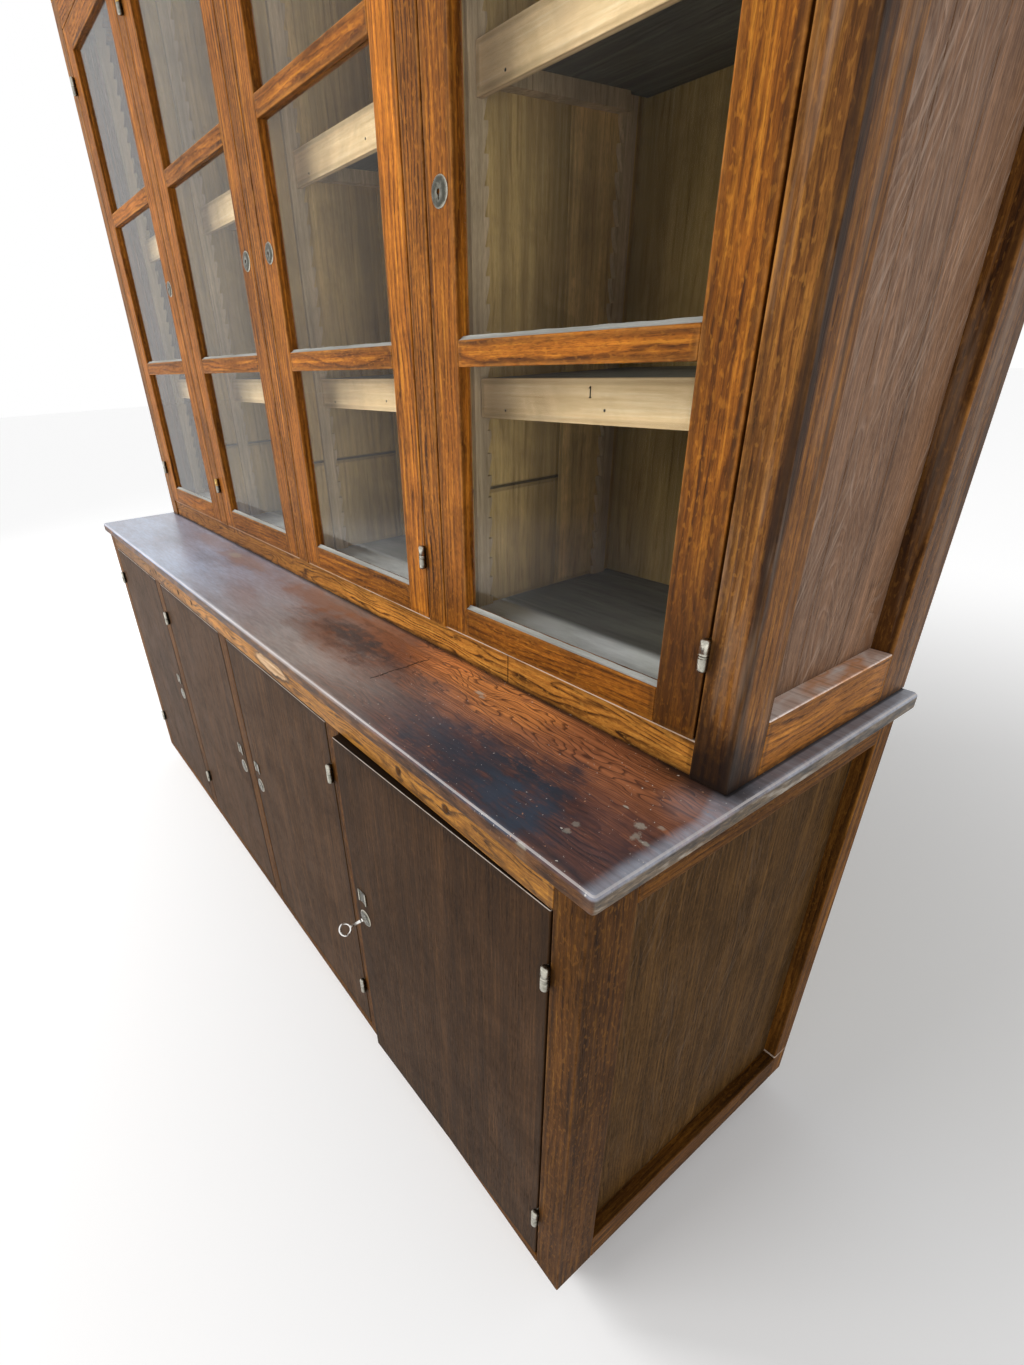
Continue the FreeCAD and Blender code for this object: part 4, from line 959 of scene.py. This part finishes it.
def screwHead(x, y, z, radius=2.2 * mm):
    # a low dome on a front face: a quarter round turned about its axis
    profile = [(0, 0), (radius, 0), (radius, 0.2 * mm), (radius * 0.85, 0.45 * mm), (radius * 0.5, 0.6 * mm),
               (0, 0.66 * mm)]
    return flip(moved(latheShape(profile, 1, 20), lambda p: p * [1, -1, 1] + [x, y, z]))


cardHolder = {"half": 12 * mm, "roll": 3 * mm, "tall": 13 * mm, "thick": 1.2 * mm, "rise": 50 * mm}


def cardPlate(x, y, z):
    # a small upright plate with a rolled edge left and right; the rolls are painted bright as highlights and
    # the plate between them dull
    half, tall = cardHolder["half"], cardHolder["tall"]
    plate = slabShape((x - half, y - cardHolder["thick"], z - tall), (x + half, y, z + tall), 2, 0.3 * mm)
    plate["wear"] *= 0.3
    shapes = [plate]
    for side in (-1, 1):
        roll = slabShape((x + side * half, y - 2.6 * mm, z - tall),
                         (x + side * (half - cardHolder["roll"]), y - 0.6 * mm, z + tall), 2, 0.9 * mm)
        roll["wear"][:] = 1
        shapes.append(roll)
    return shapes + [screwHead(x, y - 1.1 * mm, z + up * mm, 1.4 * mm) for up in (-9.5, 9.5)]


# the bolt's slot in the free edge: depth into the door, place behind the face and over the lock's middle
boltSlot = {"deep": 36 * mm, "behind": np.array([7.7, 12.3]) * mm,
            "over": np.array([7.7, 20.3]) * mm}


def slotted(board, y, z, deep):
    # opens a pocket in the board's left edge: the long flat face there gives way to a frame of four
    # faces round the opening, four walls and a floor
    points, faces, uvs = board["points"], list(board["faces"]), list(board["uvs"])
    corners = points[np.array(faces[:len(uvs[0]) // 4])]
    size = np.ptp(corners, axis=1)
    atEdge = corners[:, :, 0].max(1) < points[:, 0].min() + 1e-6
    index = int(np.argmax(size[:, 1] * size[:, 2] * atEdge))
    taken = 4 * index + np.arange(4)
    ring, uv = corners[index], uvs[0][taken]
    uvs[0] = np.delete(uvs[0], taken, 0)
    over = ring > ring.mean(0)
    rim = np.stack([ring[:, 0], np.where(over[:, 1], y[1], y[0]), np.where(over[:, 2], z[1], z[0])], 1)
    rimUv = uv + np.stack([rim[:, 2] - ring[:, 2], ring[:, 1] - rim[:, 1]], 1)
    fresh = len(points) + np.arange(4)
    loops = [(faces.pop(index), uv), (fresh, rimUv), (fresh + 4, rimUv + [0, deep])]
    for (near, nearUv), (far, farUv) in zip(loops, loops[1:]):
        for a, b in ((0, 1), (1, 2), (2, 3), (3, 0)):
            faces.append(np.array([near[a], near[b], far[b], far[a]]))
            uvs.append(np.array([nearUv[a], nearUv[b], farUv[b], farUv[a]]))
    faces.append(fresh + 4)
    uvs.append(loops[2][1])
    return {**board, "points": np.concatenate([points, rim, rim + [deep, 0, 0]]), "faces": faces,
            "uvs": uvs, "wear": np.concatenate([board["wear"], np.repeat([0.6, 0.0], 4)])}


# tones of the doors: those further left are made lighter, a painted sheen for the more grazing view of them
flatDoor = {"wide": 471.35 * mm, "foot": 82 * mm, "head": 827.5 * mm, "thick": 20 * mm, "round": 1.5 * mm,
            "faded": {1: 1.2, 2: 1.24, 3: 1.22, 4: 0.97}, "lockIn": 29 * mm, "lockLevel": 465 * mm,
            "pins": 12.3 * mm}
lowPins, upPins = [], []
for number in (1, 2, 3, 4):
    body, name = "lower_door_%d" % number, "lowerDoor%d" % number
    change = swung if number == 4 else still
    side = 1 if number < 3 else -1
    pivot = joints[body + "_hinge"]["pos_m"]
    face = pivot[1] + hinge["proud"]
    hung = pivot[0] + side * hinge["gap"] / 2
    free = hung + side * flatDoor["wide"]
    panel = boardShape((min(hung, free), face, flatDoor["foot"]),
                       (max(hung, free), face + flatDoor["thick"], flatDoor["head"]), 2, flatDoor["round"],
                       12 * mm, tone=flatDoor["faded"][number])
    keyhole = np.array([free - side * flatDoor["lockIn"], face, flatDoor["lockLevel"]])
    if number == 4:
        panel = slotted(panel, keyhole[1] + boltSlot["behind"], keyhole[2] + boltSlot["over"],
                        boltSlot["deep"])
    makePiece(name + "Panel", [moved(panel, change)], veneer, body, [body + "_panel"])
    halves = hangDoor(pivot, hinge["lowerDoor"], side, lowPins)
    makePiece(name + "Hinges", [moved(s, change) for s in halves], nickel, body, [body + "_hinges"])
    fittings = [keyholePlate(*keyhole)] + cardPlate(*(keyhole + [0, 0, cardHolder["rise"]]))
    fittings += [screwHead(keyhole[0] + way * flatDoor["pins"], face - 1.9 * mm, keyhole[2], 1.3 * mm)
                 for way in (-1, 1)]
    makePiece(name + "Lock", [moved(s, change) for s in fittings], nickel, body, [body + "_lock"])

# tone of a glazed door's right-hand stile, where it differs from the rest of the frame
rightStile = {3: 1.5, 4: 0.84}
fillet = {"deep": 7.0, "high": 4.6, "wave": 0.048, "step": 12.0}


def stileTone(number, low, high):
    upright = high[2] - low[2] > 1
    atRight = high[0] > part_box("upper_door_%d_frame" % number)[1][0] - 1 * mm
    return rightStile.get(number, 1.0) if upright and atRight else 1.0


def puttyStrip(low, high):
    # a three-cornered bead along the foot of a pane: its section is a right angle closed by a slightly
    # hollow slope, and its height wanders with two sines along the length
    rows = max(int((high[0] - low[0]) / (fillet["step"] * mm)), 4)
    along = np.linspace(low[0], high[0], rows)[:, None]
    wave = 1 + fillet["wave"] * (np.sin(along * 61) + np.sin(along * 143 + 1))
    out = np.array([0, 0, 0.12, 0.45, 0.8, 1, 1]) * fillet["deep"] * mm
    up = np.array([0, 1, 0.9, 0.42, 0.16, 0.08, 0]) * fillet["high"] * mm * wave
    points = np.stack([along + 0 * up, low[1] - out + 0 * up, low[2] + up], 2)
    columns = len(out)
    quads, r, c = gridFaces(rows, columns)
    caps = [np.arange(columns)[::-1], (rows - 1) * columns + np.arange(columns)]
    place = np.stack([r * fillet["step"] * mm, c * 2 * mm], 2).reshape(-1, 2)
    return {"points": points.reshape(-1, 3), "faces": list(quads) + caps, "wear": np.zeros(rows * columns),
            "uvs": [place, np.zeros((2 * columns, 2))]}


for number in (1, 2, 3, 4):
    body, name = "upper_door_%d" % number, "upperDoor%d" % number
    bars = [boardShape(a, b, None, 1.6 * mm, tone=stileTone(number, a, b))
            for a, b in nodeBoxes(body + "_frame")]
    makePiece(name + "Frame", bars, doorOak, body, [body + "_frame"])
    pivot = joints[body + "_hinge"]["pos_m"]
    halves = hangDoor(pivot, hinge["upperDoor"], 1 if number < 3 else -1, upPins)
    makePiece(name + "Hinges", halves, brass if number == 2 else nickel, body, [body + "_hinges"])
    low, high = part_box(body + "_lock")
    plate = keyholePlate((low[0] + high[0]) / 2, pivot[1] + hinge["proud"], (low[2] + high[2]) / 2)
    makePiece(name + "Lock", [plate], nickel, body, [body + "_lock"])
    nodes[body + "_glass"].material_slots[0].material = glass
    strips = [puttyStrip(a, b) for a, b in nodeBoxes(body + "_glass")]
    makePiece(name + "Putty", strips, putty, body, ())
makePiece("hingePins", lowPins + upPins, nickel, "carcass", ["hinge_pins"])
print("doors ready")


def plateShape(outline, at, thick):
    # a flat outline of (x, z) points in millimetres, given a thickness towards the front
    x, z = np.array(outline, float).T * mm
    count = len(x)
    points = np.stack([np.stack([x, 0 * x - depth, z], 1) for depth in (0, thick)]) + np.asarray(at)
    faces = list(gridFaces(2, count)[0]) + [np.arange(count)[::-1], count + np.arange(count)]
    corners = sum(len(face) for face in faces)
    return {"points": points.reshape(-1, 3), "faces": faces, "uvs": [np.zeros((corners, 2))],
            "wear": np.zeros(2 * count)}


# a plain stamped figure, and the nails that hold the boards at the shelf fronts
figure = {"outline": [(-2.0, 0), (2.0, 0), (2.0, 1.2), (0.9, 1.4), (0.9, 13), (-0.6, 13), (-2.9, 10.9),
                      (-2.9, 9.8), (-0.9, 11), (-0.9, 1.4), (-2.0, 1.2)],
          "x": 751 * mm, "z": 1278.5 * mm, "thick": 0.25 * mm}
nail = {"radius": 1.7 * mm, "fromRight": 233 * mm, "fromLeft": 55 * mm, "up": (16.5 * mm, 11 * mm)}
fascias = nodeBoxes("shelf_fascias")
front = fascias[0][0][1]
stamp = plateShape(figure["outline"], (figure["x"], front, figure["z"]), figure["thick"])
makePiece("fasciaFigure", [stamp], numberInk, "carcass", ())
nails = []
for low, high in fascias:
    for x, up in zip((high[0] - nail["fromRight"], low[0] + nail["fromLeft"]), nail["up"]):
        nails.append(screwHead(x, front, low[2] + up, nail["radius"]))
makePiece("fasciaNails", nails, steel, "carcass", ())

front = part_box("apron_rail")[0][1]
plugs = [screwHead(x * mm, front, plug["z"] * mm, plug["radius"] * mm) for x in plug["x"]]
makePiece("apronPlugs", plugs, darkOak, "carcass", ())
print("small pieces ready")


# the shaft's profile is (radius, distance behind the plate) in millimetres; the bow is a ring
key = {"bowOut": 42 * mm, "ring": 10.1 * mm, "wire": 1.9 * mm, "turn": 45,
       "shaft": [(0, 10), (2.25, 10), (2.25, -5.6), (3.0, -6.0), (3.4, -6.6), (3.4, -7.9), (3.0, -8.5),
                 (2.6, -9), (2.6, -12), (3.1, -12.6), (2.6, -13.2), (2.6, -28), (3.0, -30), (2.7, -31.5),
                 (0, -32)]}
shaft = latheShape([(r * mm, h * mm) for r, h in key["shaft"]], 1, 24, 1.0)
slant = math.radians(key["turn"])
across = (math.cos(slant), 0, -math.sin(slant))
bow = ringShape((0, -key["bowOut"], 0), key["ring"], key["wire"], across, (0, 1, 0))
makePiece("lockKey", [flip(moved(s, lambda p: swung(p + keyhole))) for s in (shaft, bow)], brightSteel,
          "key", ["lock_key"])
print("key ready")


def seenRays(tree):
    # 1 where the camera looks, also by way of metal or glass
    rays = addNode(tree, "ShaderNodeLightPath").outputs
    either = calculate(tree, "MAXIMUM", rays["Is Camera Ray"], rays["Is Glossy Ray"])
    return calculate(tree, "MAXIMUM", either, rays["Is Transmission Ray"])


# the paper's glow rises with distance in metres, so that its far end meets the white world
paper = {"half": 30.0, "colour": "#F3F3F3", "from": 1.0, "to": 4.5, "nearGlow": 0.09, "farGlow": 0.58}
corners = [(x * paper["half"], y * paper["half"], 0) for x, y in ((-1, -1), (1, -1), (1, 1), (-1, 1))]
floorMesh = bpy.data.meshes.new("floor")
floorMesh.from_pydata(corners, [], [(0, 1, 2, 3)])
floor = bpy.data.objects.new("floor", floorMesh)
bpy.context.scene.collection.objects.link(floor)
floorPaint, tree, inputs = newMaterial("palePaper")
inputs["Base Color"].default_value = linear(paper["colour"])
inputs["Roughness"].default_value = 0.9
inputs["Specular IOR Level"].default_value = 0.1
inputs["Emission Color"].default_value = (1, 1, 1, 1)
spot = addNode(tree, "ShaderNodeTexCoord").outputs["Object"]
far = addNode(tree, "ShaderNodeVectorMath", {"operation": "LENGTH"}, links={0: spot}).outputs["Value"]
glow = span(tree, far, paper["from"], paper["to"], paper["nearGlow"], paper["farGlow"])
give(tree, inputs["Emission Strength"], product(tree, seenRays(tree), glow))
floorMesh.materials.append(floorPaint)

studio = {"light": 0.38, "seen": 1.0}
world = bpy.data.worlds.new("studio")
bpy.context.scene.world = world
world.use_nodes = True
tree = world.node_tree
back = tree.nodes["Background"].inputs
back["Color"].default_value = (1, 1, 1, 1)
strength = calculate(tree, "MULTIPLY_ADD", seenRays(tree), studio["seen"] - studio["light"], studio["light"])
give(tree, back["Strength"], strength)


def placed(name, data, side, up, place):
    # an object that looks along its own -Z, with its X and Y along side and up
    turned = np.eye(4)
    turned[:3, :3] = np.stack([side, up, np.cross(side, up)], 1)
    turned[:3, 3] = place
    thing = bpy.data.objects.new(name, data)
    bpy.context.scene.collection.objects.link(thing)
    thing.matrix_world = Matrix(turned.tolist())
    return thing


def softLamp(name, place, target, size, power):
    # a square of light turned from a place towards a target
    lamp = bpy.data.lights.new(name, "AREA")
    lamp.shape = "RECTANGLE"
    lamp.size, lamp.size_y = size
    lamp.energy = power
    aim = np.array(target, float) - place
    side = np.cross(aim, (0, 0, 1))
    up = np.cross(side, aim)
    thing = placed(name, lamp, side / np.linalg.norm(side), up / np.linalg.norm(up), place)
    thing.visible_glossy = thing.visible_transmission = False


# place, target and size in metres, power in watts
lamps = {"windowLeft": ((-3.2, -3.0, 2.6), (0.2, 0, 1.0), (2.0, 1.8), 172),
         "roomFront": ((-0.3, -3.4, 2.8), (0.3, 0, 0.9), (2.0, 2.0), 64),
         "endFill": ((4.1, -1.1, 1.1), (1.0, 0, 1.0), (1.8, 1.4), 52)}
for name, settings in lamps.items():
    softLamp(name, *settings)

# the view: focal length and principal point in pixels of an upright image, angles in radians, place in metres
view = {"focal": 658.0, "centre": (445.23, 724.14), "turn": -0.977405, "tilt": 0.512843, "roll": -0.052186,
        "place": (1.3756, -0.6654, 1.3340), "wide": 1024, "tall": 1365, "sensor": 36}


def turnMatrix(angle, first, second):
    out = np.eye(3)
    out[first, first] = out[second, second] = math.cos(angle)
    out[first, second] = -math.sin(angle)
    out[second, first] = math.sin(angle)
    return out


level = np.array([[1, 0, 0], [0, 0, -1], [0, 1, 0]], float)
look = turnMatrix(view["roll"], 0, 1) @ turnMatrix(view["tilt"], 1, 2)
look = look @ level @ turnMatrix(view["turn"], 0, 1)
lens = bpy.data.cameras.new("camera")
lens.sensor_width = view["sensor"]
lens.lens = view["focal"] / view["tall"] * view["sensor"]
lens.shift_x = (view["wide"] / 2 - view["centre"][0]) / view["tall"]
lens.shift_y = (view["centre"][1] - view["tall"] / 2) / view["tall"]
lens.clip_start = 0.02
bpy.context.scene.camera = placed("camera", lens, look[0], -look[1], view["place"])
bpy.context.scene.view_settings.view_transform = "Standard"
print("stage ready")
